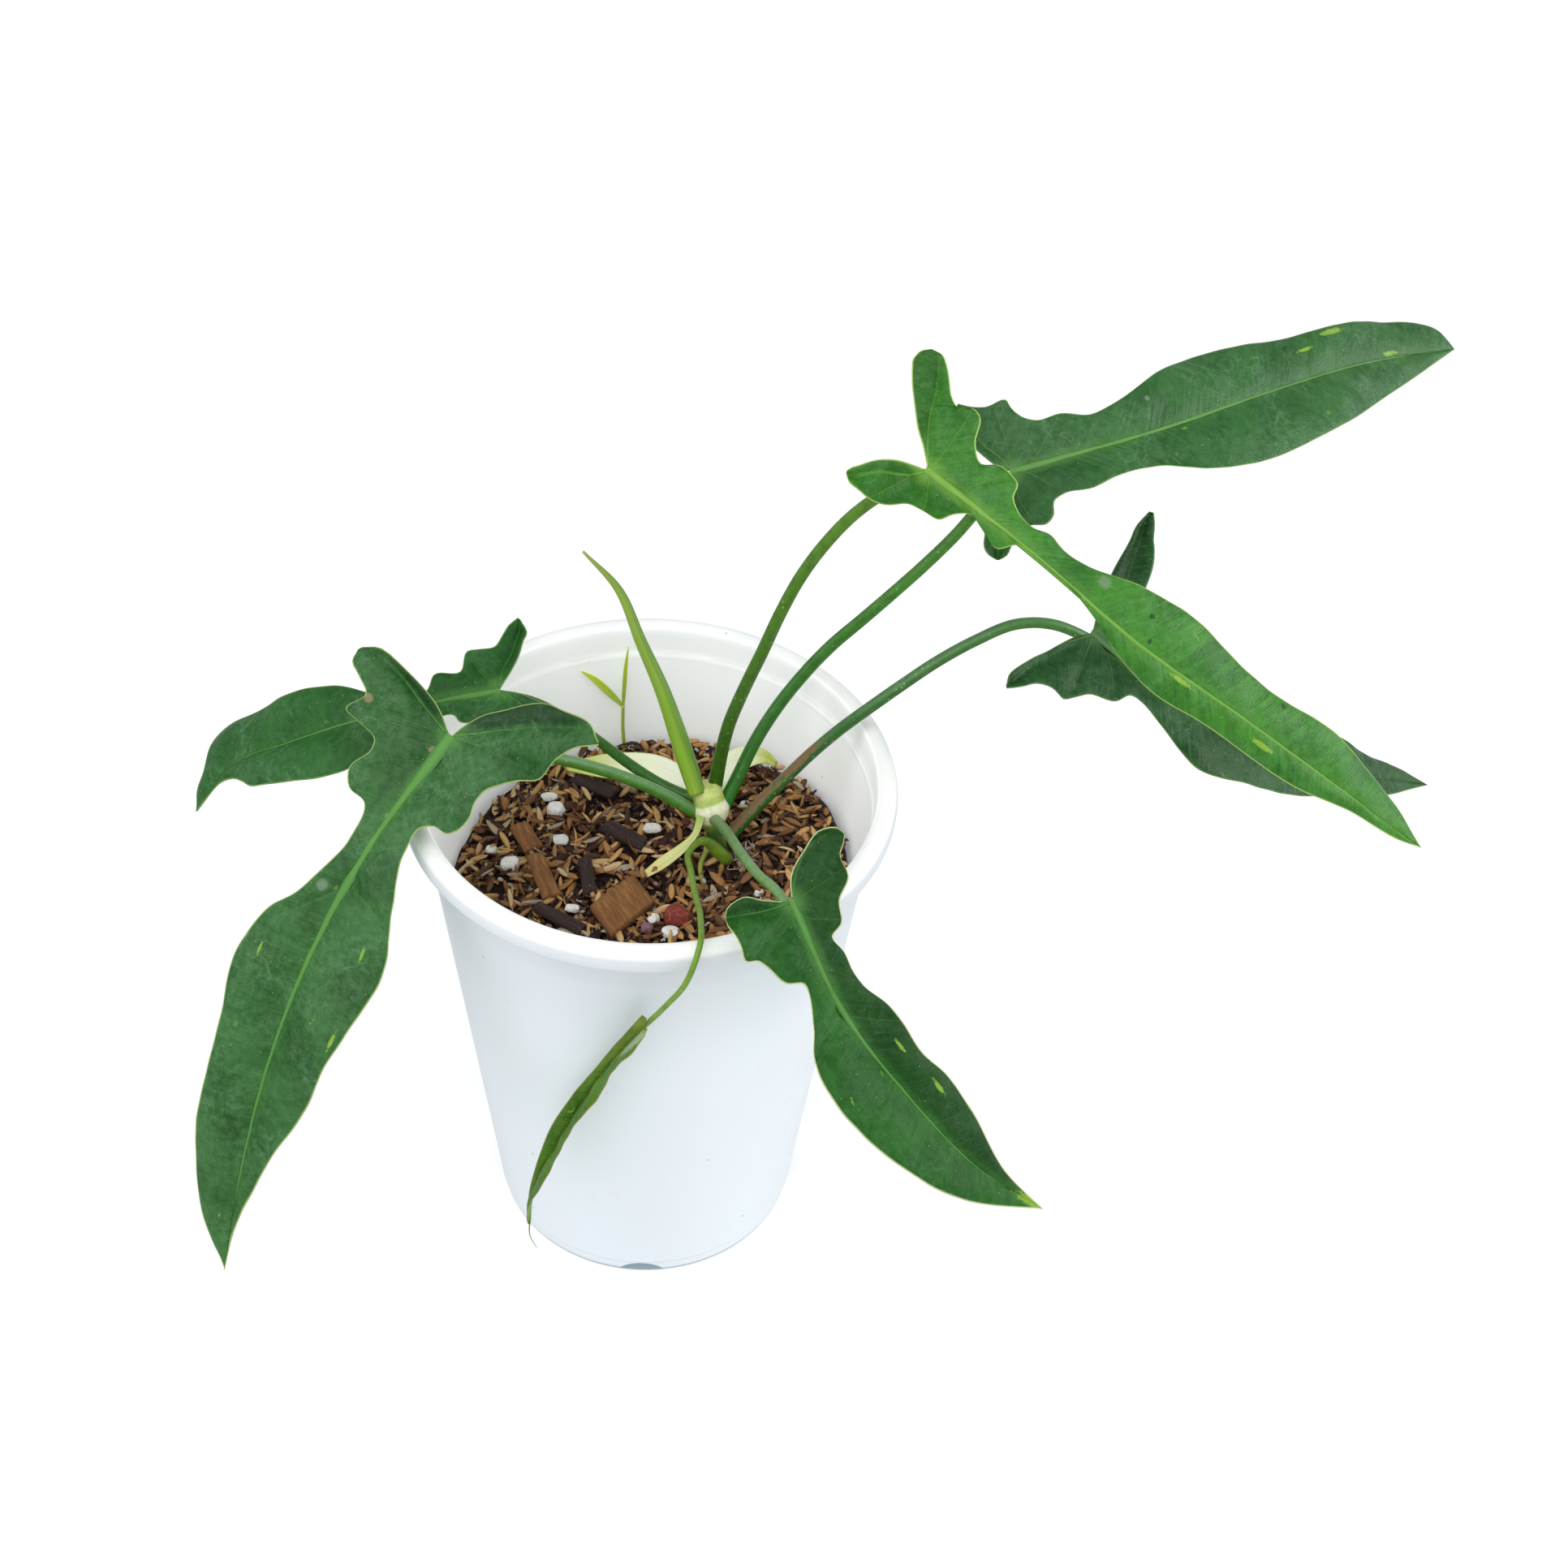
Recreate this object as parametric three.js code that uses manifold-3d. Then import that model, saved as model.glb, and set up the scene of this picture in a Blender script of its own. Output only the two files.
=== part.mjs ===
// Potted philodendron with long, three-lobed leaves, in a white plastic nursery pot.
// Millimetres, +Z up. The pot stands on z = 0 with its axis on the Z axis, and its front faces -Y.
import * as THREE from "three";
import { mergeVertices } from "three/addons/utils/BufferGeometryUtils.js";
import Module from "manifold-3d";

const wasm = await Module();
wasm.setup();

// Pot
const POT_HEIGHT = 240;
const RIM_RADIUS = 100;
const RIM_INNER = 91.3;
const COLLAR_DEPTH = 11.6;
const NECK_RADIUS = 92;
const FOOT_RADIUS = 64.5;
const WALL = 1.8;
const FLOOR_TOP = 6.5;
const POT_SIDES = 56;
const NOTCH_RADIUS = 9.5;
const NOTCH_DROP = 5;

// Gap left between pieces that rest against one another
const GAP = 0.3;
const TRIM = 0.05;

// Foliage
const BLADE = 0.8;
const MIDRIB_OVERLAP = 0.5;
const STALK_SIDES = 7;

const group = new THREE.Group();
const vec = (p) => new THREE.Vector3(p[0], p[1], p[2]);
const clamp = THREE.MathUtils.clamp;

// Repeatable random draw between -1 and 1
function spread(seed) {
  let state = seed;
  return () => {
    state = (state * 16807) % 2147483647;
    return (state / 2147483647) * 2 - 1;
  };
}

// Closed mesh from points and triangles, turned outward where it came out inside out
function closedMesh(points, triangles) {
  let volume = 0;
  for (const [a, b, c] of triangles) {
    volume += points[a].dot(new THREE.Vector3().crossVectors(points[b], points[c]));
  }
  const index = [];
  for (const [a, b, c] of triangles) {
    index.push(a, volume > 0 ? b : c, volume > 0 ? c : b);
  }
  const geometry = new THREE.BufferGeometry().setFromPoints(points);
  geometry.setIndex(index);
  return geometry;
}

function toSolid(geometry) {
  const plain = geometry.clone();
  plain.deleteAttribute("normal");
  plain.deleteAttribute("uv");
  const merged = mergeVertices(plain, 1e-4);
  return new wasm.Manifold(new wasm.Mesh({
    numProp: 3,
    vertProperties: Float32Array.from(merged.attributes.position.array),
    triVerts: Uint32Array.from(merged.index.array),
  }));
}

// The largest single body of a solid, with slivers under TRIM taken out: crumbs that a cut leaves loose
// are dropped
function mainBody(solid) {
  return solid.decompose().sort((a, b) => b.volume() - a.volume())[0].simplify(TRIM);
}

function toGeometry(solid) {
  const mesh = mainBody(solid).getMesh();
  const geometry = new THREE.BufferGeometry();
  geometry.setAttribute("position", new THREE.Float32BufferAttribute(mesh.vertProperties, 3));
  geometry.setIndex(Array.from(mesh.triVerts));
  geometry.computeVertexNormals();
  return geometry;
}

function place(name, geometry, color, roughness) {
  const material = new THREE.MeshStandardMaterial({ color, roughness, metalness: 0 });
  const mesh = new THREE.Mesh(geometry, material);
  mesh.name = name;
  group.add(mesh);
}

// Round stalk along a curve, with its own radius at each station
function stalk(curve, radiusAt, rings, sides = STALK_SIDES) {
  const frames = curve.computeFrenetFrames(rings, false);
  const points = [];
  const triangles = [];
  for (let i = 0; i <= rings; i++) {
    const centre = curve.getPointAt(i / rings);
    for (let j = 0; j < sides; j++) {
      const turn = (j / sides) * 2 * Math.PI;
      const point = centre.clone();
      point.addScaledVector(frames.normals[i], radiusAt(i / rings) * Math.cos(turn));
      point.addScaledVector(frames.binormals[i], radiusAt(i / rings) * Math.sin(turn));
      points.push(point);
    }
  }
  for (let i = 0; i < rings; i++) {
    for (let j = 0; j < sides; j++) {
      const a = i * sides + j;
      const b = i * sides + ((j + 1) % sides);
      triangles.push([a, b, b + sides], [a, b + sides, a + sides]);
    }
  }
  const last = rings * sides;
  for (let j = 1; j < sides - 1; j++) {
    triangles.push([0, j + 1, j], [last, last + j, last + j + 1]);
  }
  return toSolid(closedMesh(points, triangles));
}

function smoothCurve(knots) {
  const curve = new THREE.CatmullRomCurve3(knots.map(vec), false, "catmullrom", 0.5);
  curve.arcLengthDivisions = 400;
  return curve;
}

// Leaf blade surface. s runs along the midrib from the petiole to the tip, and is negative behind the
// petiole, where the two basal lobes are. w is the distance out from the midrib on one side.
function surface(leaf, side, s, w, lift = 0) {
  const u = clamp(s / leaf.length, 0, 1);
  const half = side > 0 ? leaf.right : leaf.left;
  const at = leaf.curve.getPointAt(u);
  const along = leaf.curve.getTangentAt(u);
  if (s < 0) {
    at.addScaledVector(along, s);
  }
  const face = vec(leaf.faces[0]).normalize().lerp(vec(leaf.faces[1]).normalize(), u);
  const across = new THREE.Vector3().crossVectors(along, face).normalize();
  const up = new THREE.Vector3().crossVectors(across, along);
  const [lobeFold, baseFold, tipFold] = half.folds;
  const fold = THREE.MathUtils.lerp(baseFold + (tipFold - baseFold) * u, lobeFold, clamp(-s / 15, 0, 1));
  const angle = THREE.MathUtils.degToRad(fold);
  const [height, count, phase] = leaf.wave;
  const wave = ((height * w) / 20) * Math.sin((count * 2 * Math.PI * s) / leaf.length + phase * side);
  at.addScaledVector(across, side * w * Math.cos(angle));
  at.addScaledVector(up, w * Math.sin(angle) + wave);
  at.addScaledVector(up, lift * Math.cos(angle));
  at.addScaledVector(across, -side * lift * Math.sin(angle));
  return at;
}

// One half of a blade as a thin plate: each row is a rib line [s, w, s, w] from the inside edge, or the
// midrib, to the margin. Both faces have the same triangles.
function halfBlade(leaf, side, thickness) {
  const half = side > 0 ? leaf.right : leaf.left;
  const rows = half.lobe.concat(half.blade.map(([rib, s, w]) => [rib, 0, s, w]));
  const fine = [];
  rows.forEach((row, i) => {
    const next = rows[i + 1];
    const steps = next ? Math.max(1, Math.round((next[2] - row[2]) / 22)) : 1;
    for (let k = 0; k < (next ? steps : 1); k++) {
      fine.push(next ? row.map((v, n) => v + ((next[n] - v) * k) / steps) : row);
    }
  });
  const points = [];
  for (const lift of [thickness / 2, -thickness / 2]) {
    for (const [s0, w0, s1, w1] of fine) {
      points.push(surface(leaf, side, s0, w0 > 0.01 ? w0 : -MIDRIB_OVERLAP, lift));
      points.push(surface(leaf, side, s1, Math.max(w1, 0.5), lift));
    }
  }
  const bottom = fine.length * 2;
  const triangles = [];
  const quad = (a, b, c, d) => triangles.push([a, b, c], [a, c, d]);
  for (let a = 0; a < bottom - 2; a += 2) {
    quad(a, a + 1, a + 3, a + 2);
    quad(bottom + a, bottom + a + 2, bottom + a + 3, bottom + a + 1);
    quad(a, a + 2, bottom + a + 2, bottom + a);
    quad(a + 1, bottom + a + 1, bottom + a + 3, a + 3);
  }
  const end = bottom - 2;
  quad(0, bottom, bottom + 1, 1);
  quad(end, end + 1, bottom + end + 1, bottom + end);
  return toSolid(closedMesh(points, triangles));
}

function prepare(leaf) {
  leaf.curve = smoothCurve(leaf.midrib);
  leaf.length = leaf.curve.getLength();
}

function blade(leaf, thickness = BLADE) {
  prepare(leaf);
  return halfBlade(leaf, 1, thickness).add(halfBlade(leaf, -1, thickness));
}

// Petiole that runs on under the blade as its midrib and thins out toward the tip
function petioleAndMidrib(leaf, petiole, grow = 0) {
  const [baseRadius, bladeRadius] = petiole.radii;
  const stem = smoothCurve(petiole.path);
  const stemLength = stem.getLength();
  const points = [];
  const steps = Math.round(stemLength / 18);
  for (let i = 0; i < steps; i++) {
    points.push(stem.getPointAt(i / steps));
  }
  const depth = (f) => bladeRadius * (0.95 - 0.7 * f);
  const reach = 0.86;
  for (const f of [0.015, 0.12, 0.25, 0.4, 0.55, 0.7, reach]) {
    points.push(surface(leaf, 1, leaf.length * f, 0, -depth(f)));
  }
  if (grow > 0) {
    const back = points[0].clone().sub(points[1]).normalize();
    points[0].addScaledVector(back, grow);
  }
  const curve = new THREE.CatmullRomCurve3(points);
  curve.arcLengthDivisions = 400;
  const share = stemLength / curve.getLength();
  const radius = (u) => {
    if (u < share) {
      const flare = 0.25 * Math.max(0, 1 - (u * curve.getLength()) / 14);
      return baseRadius + (bladeRadius - baseRadius) * (u / share) + flare + grow;
    }
    const f = (u - share) / (1 - share);
    return bladeRadius * (1 - 0.72 * f) + grow;
  };
  return stalk(curve, radius, steps + 6);
}

const leaves = {};

// Brightest and highest leaf, reaching to the front right. Its lower half hangs away.
leaves.leaf_upper_right_front = {
  color: 0x3d8a35,
  petiole: {
    path: [[25, 26.5, 208], [30, 27, 244], [42, 32, 279], [56, 39, 314], [76, 42, 345], [102, 36, 372]],
    radii: [2.8, 2.3],
  },
  midrib: [[102, 36, 372], [144, 9, 355], [185, -10, 330], [228, -16, 301], [269, -17, 269], [309, -14, 235]],
  faces: [[0.1, -0.35, 0.93], [0.35, -0.45, 0.8]],
  wave: [2, 3, 0],
  left: {
    folds: [12, 12, 5],
    lobe: [[-29, 43, -28, 44], [-34, 37, -24, 42], [-32, 30, -17, 35], [-27, 24, -12, 30], [-24, 21, -8, 28],
      [-20, 17, -2, 31], [-16, 13, 1, 30], [-7, 6, 7, 20], [0, 0, 14, 15]],
    blade: [[4, 19, 18], [11, 27, 18], [14, 30, 17], [18, 32, 12], [24, 37, 9], [31, 44, 8], [39, 52, 11],
      [45, 58, 10], [81, 94, 19], [103, 116, 22], [141, 152, 18], [202, 210, 16], [225, 231, 13],
      [251, 253, 4], [261, 261, 0]],
  },
  right: {
    folds: [-15, -52, -30],
    lobe: [[-24, 21, -23, 22], [-22, 15, -16, 22], [-17, 8, -5, 20], [-12, 4, 1, 16], [-7, 2, 7, 15],
      [0, 0, 14, 14]],
    blade: [[3, 18, 8], [10, 24, 3], [25, 40, 7], [32, 44, 2], [73, 86, 3], [85, 96, 7], [106, 117, 12],
      [133, 143, 10], [189, 195, 10], [216, 220, 5], [252, 253, 2], [261, 261, 0]],
  },
};

// Long leaf that points away to the back right
leaves.leaf_upper_right_back = {
  color: 0x3f7040,
  petiole: {
    path: [[28, 20.5, 200], [44, 40, 232], [65, 53, 260], [90, 59, 287], [115, 69, 312], [138, 84, 337]],
    radii: [2.8, 2.3],
  },
  midrib: [[138, 84, 337], [194, 103, 346], [243, 138, 343], [289, 177, 333], [335, 213, 318]],
  faces: [[0, -0.4, 0.9], [0.2, -0.5, 0.85]],
  wave: [2, 2, 1],
  left: {
    folds: [10, 10, 5],
    lobe: [[-12, 34, -11, 35], [-14, 26, -6, 32], [-13, 20, -1, 30], [-9, 10, 7, 30], [-5, 4, 8, 26],
      [0, 0, 11, 21]],
    blade: [[4, 16, 18], [13, 26, 18], [24, 38, 14], [32, 46, 15], [65, 79, 24], [77, 92, 25], [108, 122, 23],
      [129, 143, 20], [192, 203, 17], [215, 224, 14], [232, 238, 8], [242, 242, 0]],
  },
  right: {
    folds: [0, 0, -5],
    lobe: [[-19, 36, -18, 37], [-21, 30, -13, 34], [-19, 22, -6, 28], [-18, 18, -2, 26], [-12, 11, 6, 27],
      [-8, 8, 9, 25], [0, 0, 13, 17]],
    blade: [[2, 16, 16], [13, 29, 17], [24, 40, 14], [39, 56, 14], [68, 83, 24], [83, 98, 27], [119, 132, 26],
      [192, 199, 13], [242, 242, 0]],
  },
};

// Leaf on the right, half hidden under the bright one
leaves.leaf_right = {
  color: 0x3a6640,
  petiole: {
    path: [[30, 17, 188], [50, 26, 211], [70, 32, 234], [92, 35, 256], [118, 46, 272], [147, 54, 284],
      [176, 60, 275]],
    radii: [2.7, 2.2],
  },
  midrib: [[176, 60, 275], [221, 45, 245], [265, 61, 213], [305, 86, 181], [343, 115, 150]],
  faces: [[0.2, -0.3, 0.9], [0.5, -0.4, 0.75]],
  wave: [2, 2, 0],
  left: {
    folds: [15, 8, 5],
    lobe: [[-9, 61, -7, 62], [-10, 54, -4, 59], [-9, 45, 0, 52], [-8, 33, 4, 43], [-5, 15, 8, 27],
      [-3, 9, 10, 22], [0, 0, 14, 15]],
    blade: [[8, 24, 12], [50, 66, 23], [89, 103, 23], [123, 135, 17], [149, 158, 13], [199, 203, 6],
      [227, 227, 0]],
  },
  right: {
    folds: [8, 8, 8],
    lobe: [[-20, 49, -19, 50], [-21, 42, -14, 45], [-17, 31, -10, 40], [-13, 23, -4, 37], [-9, 14, 3, 38],
      [-5, 6, 8, 33], [0, 0, 12, 28]],
    blade: [[10, 23, 22], [18, 27, 14], [29, 38, 13], [39, 49, 17], [48, 57, 22], [72, 81, 21],
      [115, 123, 18], [141, 148, 15], [227, 227, 0]],
  },
};

// Leaf that hangs over the front right of the rim
leaves.leaf_front_right = {
  color: 0x3b6b3e,
  petiole: {
    path: [[26, 15.5, 196], [34, -4, 211], [41, -31, 226], [49, -58, 241], [59, -84, 257]],
    radii: [2.6, 2.2],
  },
  midrib: [[59, -84, 257], [80, -112, 229], [107, -125, 197], [135, -130, 164], [165, -124, 132]],
  faces: [[0.3, -0.5, 0.8], [0.5, -0.6, 0.6]],
  wave: [2, 3, 1],
  left: {
    folds: [10, 10, 10],
    lobe: [[-17, 30, -16, 31], [-20, 22, -9, 26], [-16, 13, 0, 25], [-9, 4, 7, 17], [0, 0, 15, 14]],
    blade: [[5, 18, 9], [25, 40, 12], [42, 56, 17], [51, 65, 17], [68, 80, 15], [85, 96, 17],
      [102, 112, 16], [145, 149, 5], [177, 177, 0]],
  },
  right: {
    folds: [14, 10, 10],
    lobe: [[-6, 29, -5, 30], [-9, 22, 0, 30], [-5, 11, 9, 30], [0, 0, 14, 30]],
    blade: [[4, 16, 24], [8, 19, 21], [16, 27, 16], [23, 30, 9], [31, 38, 11], [37, 44, 15], [48, 52, 23],
      [65, 70, 27], [77, 82, 26], [119, 123, 18], [131, 135, 14], [177, 177, 0]],
  },
};

// Largest leaf, hanging over the front left of the rim
leaves.leaf_front_left = {
  color: 0x3c703f,
  petiole: {
    path: [[21, 18.5, 200], [0, 17, 216], [-21, 13, 229], [-41, 5, 242], [-61, -5, 255], [-77, -17, 270]],
    radii: [2.6, 2.3],
  },
  midrib: [[-77, -17, 270], [-105, -47, 240], [-128, -73, 202], [-145, -93, 158], [-157, -109, 111],
    [-166, -122, 62]],
  faces: [[-0.3, -0.6, 0.75], [-0.4, -0.8, 0.4]],
  wave: [2, 3, 2],
  left: {
    folds: [10, 10, 10],
    lobe: [[-33, 58, -32, 59], [-37, 48, -25, 50], [-35, 37, -18, 46], [-32, 25, -8, 44], [-21, 12, -2, 35],
      [-12, 4, 4, 29], [-5, 1, 8, 26], [0, 0, 14, 26]],
    blade: [[6, 21, 29], [11, 27, 29], [14, 30, 27], [19, 31, 20], [26, 35, 15], [36, 46, 15], [57, 66, 24],
      [74, 82, 31], [112, 120, 31], [150, 157, 24], [195, 200, 11], [240, 241, 1], [256, 256, 0]],
  },
  right: {
    folds: [10, 10, 10],
    lobe: [[-8, 48, -6, 49], [-12, 42, -1, 48], [-11, 29, 2, 43], [-8, 14, 6, 37], [0, 0, 16, 41]],
    blade: [[5, 17, 33], [13, 19, 24], [16, 22, 23], [25, 33, 26], [32, 39, 21], [40, 40, 13], [54, 55, 9],
      [69, 71, 12], [80, 83, 16], [92, 93, 23], [105, 107, 28], [115, 117, 30], [140, 143, 25],
      [168, 172, 23], [195, 199, 23], [207, 212, 21], [256, 256, 0]],
  },
};

// Smaller leaf at the back left, partly behind the largest one
leaves.leaf_back_left = {
  color: 0x3a6a3e,
  petiole: {
    path: [[19.5, 23.5, 203.5], [0, 29, 209], [-17, 33, 220], [-32, 34, 233], [-48, 32, 246], [-63, 25, 258]],
    radii: [2.4, 2.0],
  },
  midrib: [[-63, 25, 258], [-93, 20, 253], [-123, 19, 242], [-150, 22, 226], [-175, 28, 207],
    [-192, 24, 182]],
  faces: [[-0.2, -0.4, 0.9], [-0.5, -0.3, 0.8]],
  wave: [2, 2, 0],
  left: {
    folds: [8, 8, 8],
    lobe: [[-23, 23, -22, 24], [-24, 17, -14, 22], [-19, 11, -6, 20], [-13, 6, 2, 16], [-7, 2, 10, 14],
      [0, 0, 17, 12]],
    blade: [[4, 19, 8], [15, 32, 9], [42, 56, 20], [86, 98, 20], [95, 106, 19], [108, 117, 13],
      [136, 139, 2], [157, 157, 0]],
  },
  right: {
    folds: [8, 8, 8],
    lobe: [[-13, 30, -12, 31], [-15, 24, -8, 28], [-13, 20, -5, 24], [-10, 13, -1, 19], [-5, 6, 5, 19],
      [0, 0, 10, 19]],
    blade: [[7, 14, 11], [16, 25, 11], [21, 28, 6], [38, 46, 8], [62, 70, 19], [70, 78, 20], [101, 110, 18],
      [126, 135, 17], [137, 143, 10], [151, 154, 5], [157, 157, 0]],
  },
};

// Thin-stalked leaf, folded along its midrib, that hangs over the front of the rim
leaves.leaf_hanging = {
  color: 0x56672f,
  petiole: {
    path: [[26, 12, 187], [20, 5, 201], [17, -10, 208], [18, -25, 214], [20, -41, 220], [22, -56, 227],
      [24, -70, 235], [25, -85, 242], [25, -102, 244], [20, -104, 229], [13, -101, 214], [5, -98, 198]],
    radii: [1.4, 1.1],
  },
  midrib: [[5, -98, 198], [-8, -91, 169], [-20, -87, 139], [-31, -86, 110], [-41, -89, 82], [-43, -90, 62]],
  faces: [[-0.75, -0.55, 0.2], [-0.8, -0.5, 0.1]],
  wave: [0.8, 3, 0],
  left: {
    folds: [40, 42, 40],
    lobe: [[-4, 3, -2, 5], [0, 0, 4, 8]],
    blade: [[16, 20, 9], [50, 54, 11], [90, 94, 9], [125, 128, 4], [147, 147, 0]],
  },
  right: {
    folds: [40, 42, 40],
    lobe: [[-6, 4, -4, 6], [0, 0, 4, 8]],
    blade: [[16, 20, 10], [50, 54, 12], [90, 94, 9], [125, 128, 4], [147, 147, 0]],
  },
};

const sockets = [];
for (const [name, leaf] of Object.entries(leaves)) {
  const solid = blade(leaf).add(petioleAndMidrib(leaf, leaf.petiole));
  sockets.push(petioleAndMidrib(leaf, leaf.petiole, GAP));
  place(name, toGeometry(solid), leaf.color, 0.42);
}

// Rolled new leaf: thick at the base, drawn out to a point past a small notch
const spearPath = [[18.5, 19.5, 212], [10, 31, 231], [2, 41, 249], [-7, 51, 266], [-17, 61, 284],
  [-32, 65, 300]];
const SPEAR_RADII = [3.4, 4.0, 3.9, 3.5, 3.1, 2.7, 2.3, 1.9, 1.2, 0.5];
function spearRadius(u, grow = 0) {
  const k = u * (SPEAR_RADII.length - 1);
  const i = Math.min(Math.floor(k), SPEAR_RADII.length - 2);
  return THREE.MathUtils.lerp(SPEAR_RADII[i], SPEAR_RADII[i + 1], k - i) + grow;
}
place("new_leaf", toGeometry(stalk(smoothCurve(spearPath), (u) => spearRadius(u), 18)), 0x82aa28, 0.4);
const spearSocketPath = [[18.8, 19.1, 211.6]].concat(spearPath.slice(1));
sockets.push(stalk(smoothCurve(spearSocketPath), (u) => spearRadius(u, GAP), 18));

// Bud sheaths: thin cream strips, channelled along the middle, that come off the stem
function sheath(path, widths, face, fold, grow = 0) {
  const strip = { midrib: path, faces: [face, face], wave: [0, 1, 0] };
  prepare(strip);
  const last = widths.length - 1;
  const station = (w, i) => (i / last) * strip.length;
  const edges = widths.map((w, i) => [station(w, i), station(w, i), w + grow]);
  strip.left = { folds: [fold, fold, fold], lobe: [], blade: edges };
  strip.right = strip.left;
  return blade(strip, 1 + 2 * grow);
}
const sheaths = [
  { path: [[22, 27, 206], [14, 33, 204], [4, 43, 200], [-10, 51, 195], [-26, 57, 189], [-40, 60, 185]],
    widths: [3, 5, 7, 6.5, 5, 1.5], face: [-0.1, -0.5, 0.85], fold: 18 },
  { path: [[24, 28, 204], [29, 40, 206], [36, 51, 204], [44, 57, 200], [50, 58, 195]],
    widths: [3, 6, 5.5, 4, 1.2], face: [0.1, -0.6, 0.8], fold: 20 },
  { path: [[23, 16, 194], [19, 14, 190.5], [13, 10, 186.5], [6, 5, 183.5], [-2, -1, 182]],
    widths: [2.2, 2.6, 2.8, 2.5, 1.2], face: [-0.2, -0.3, 0.9], fold: 20 },
];
const sheathSolids = (grow) => sheaths.map((s) => sheath(s.path, s.widths, s.face, s.fold, grow));

// Short stem with its node collar, and one aerial root that goes down into the mix
const stemPath = [[28, 12, 150], [28, 13, 172], [28, 14, 182], [25.5, 18, 197], [22.5, 22.5, 208],
  [21, 24, 213]];
function stemRadius(u, grow = 0) {
  const collar = 1.3 * Math.exp(-(((u - 0.72) / 0.05) ** 2));
  const taper = u > 0.94 ? (u - 0.94) * 25 : 0;
  return 5 + 1.6 * THREE.MathUtils.smoothstep(u, 0.45, 0.75) + collar - taper + grow;
}
const rootPath = [[26, 15, 190], [22, 8, 187], [21, 4, 183], [24, -3, 176], [25, -6, 168]];
const stemSolid = (grow) => stalk(smoothCurve(stemPath), (u) => stemRadius(u, grow), 14, 10);
const rootSolid = (grow) => stalk(smoothCurve(rootPath), () => 1.1 + grow, 7, 6);
let stem = stemSolid(0).add(rootSolid(0));
for (const solid of sheathSolids(0)) {
  stem = stem.add(solid);
}
for (const socket of sockets) {
  stem = stem.subtract(socket);
}
place("stem", toGeometry(stem), 0xc3d493, 0.5);

// Grass seedling at the back wall of the pot
const seedlingStalk = [[-16.2, 79, 172], [-16.4, 79.6, 182], [-17, 80.5, 192], [-17, 82, 202.5]];
const seedlingLeaves = [
  { path: [[-17, 82, 202], [-23, 82.4, 209], [-29, 82.2, 216], [-34.5, 81.5, 221]],
    widths: [0.7, 1.5, 1.4, 0.6] },
  { path: [[-17, 82, 202], [-16.6, 83, 212], [-16, 84, 223], [-15, 85, 233]],
    widths: [0.6, 0.9, 0.8, 0.5] },
];
let seedling = stalk(smoothCurve(seedlingStalk), () => 0.8, 5, 6);
for (const { path, widths } of seedlingLeaves) {
  seedling = seedling.add(sheath(path, widths, [0.2, -0.9, 0.4], 10));
}
place("grass_seedling", toGeometry(seedling), 0x9cb83a, 0.5);

// Pot: one moulded shell turned about its axis, with four drainage notches in the foot
const collarBottom = POT_HEIGHT - COLLAR_DEPTH;
const innerRadius = (z) => FOOT_RADIUS - WALL + ((NECK_RADIUS - FOOT_RADIUS) * z) / collarBottom;
const potProfile = [
  [0, 0], [22, 0], [24, 2.5], [51, 2.5], [53, 0], [63.3, 0], [64.5, 1.2], [65.1, 6.6], [65.8, 7.4],
  [65.7, 8.6], [NECK_RADIUS, collarBottom], [RIM_RADIUS - 0.8, collarBottom],
  [RIM_RADIUS - 0.1, collarBottom + 0.8], [RIM_RADIUS, POT_HEIGHT - 4], [RIM_RADIUS - 1, POT_HEIGHT - 1.2], [RIM_RADIUS - 3, POT_HEIGHT],
  [RIM_INNER + 2.4, POT_HEIGHT], [RIM_INNER + 0.6, POT_HEIGHT - 0.8], [RIM_INNER, POT_HEIGHT - 2.6],
  [RIM_INNER - 0.5, POT_HEIGHT - 13], [innerRadius(POT_HEIGHT - 15), POT_HEIGHT - 15],
  [innerRadius(FLOOR_TOP + 1), FLOOR_TOP + 1], [innerRadius(FLOOR_TOP) - 1.2, FLOOR_TOP], [0, FLOOR_TOP],
].map(([r, z]) => new THREE.Vector2(r, z));
const lathe = new THREE.LatheGeometry(potProfile, POT_SIDES);
lathe.rotateX(Math.PI / 2);
let pot = toSolid(lathe);
for (let k = 0; k < 4; k++) {
  const notch = new THREE.CylinderGeometry(NOTCH_RADIUS, NOTCH_RADIUS, 16, 40);
  notch.translate(0, -61, -NOTCH_DROP);
  notch.rotateZ((k * Math.PI) / 2);
  pot = pot.subtract(toSolid(notch));
}
place("pot", toGeometry(pot), 0xf2f4f6, 0.38);

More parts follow.
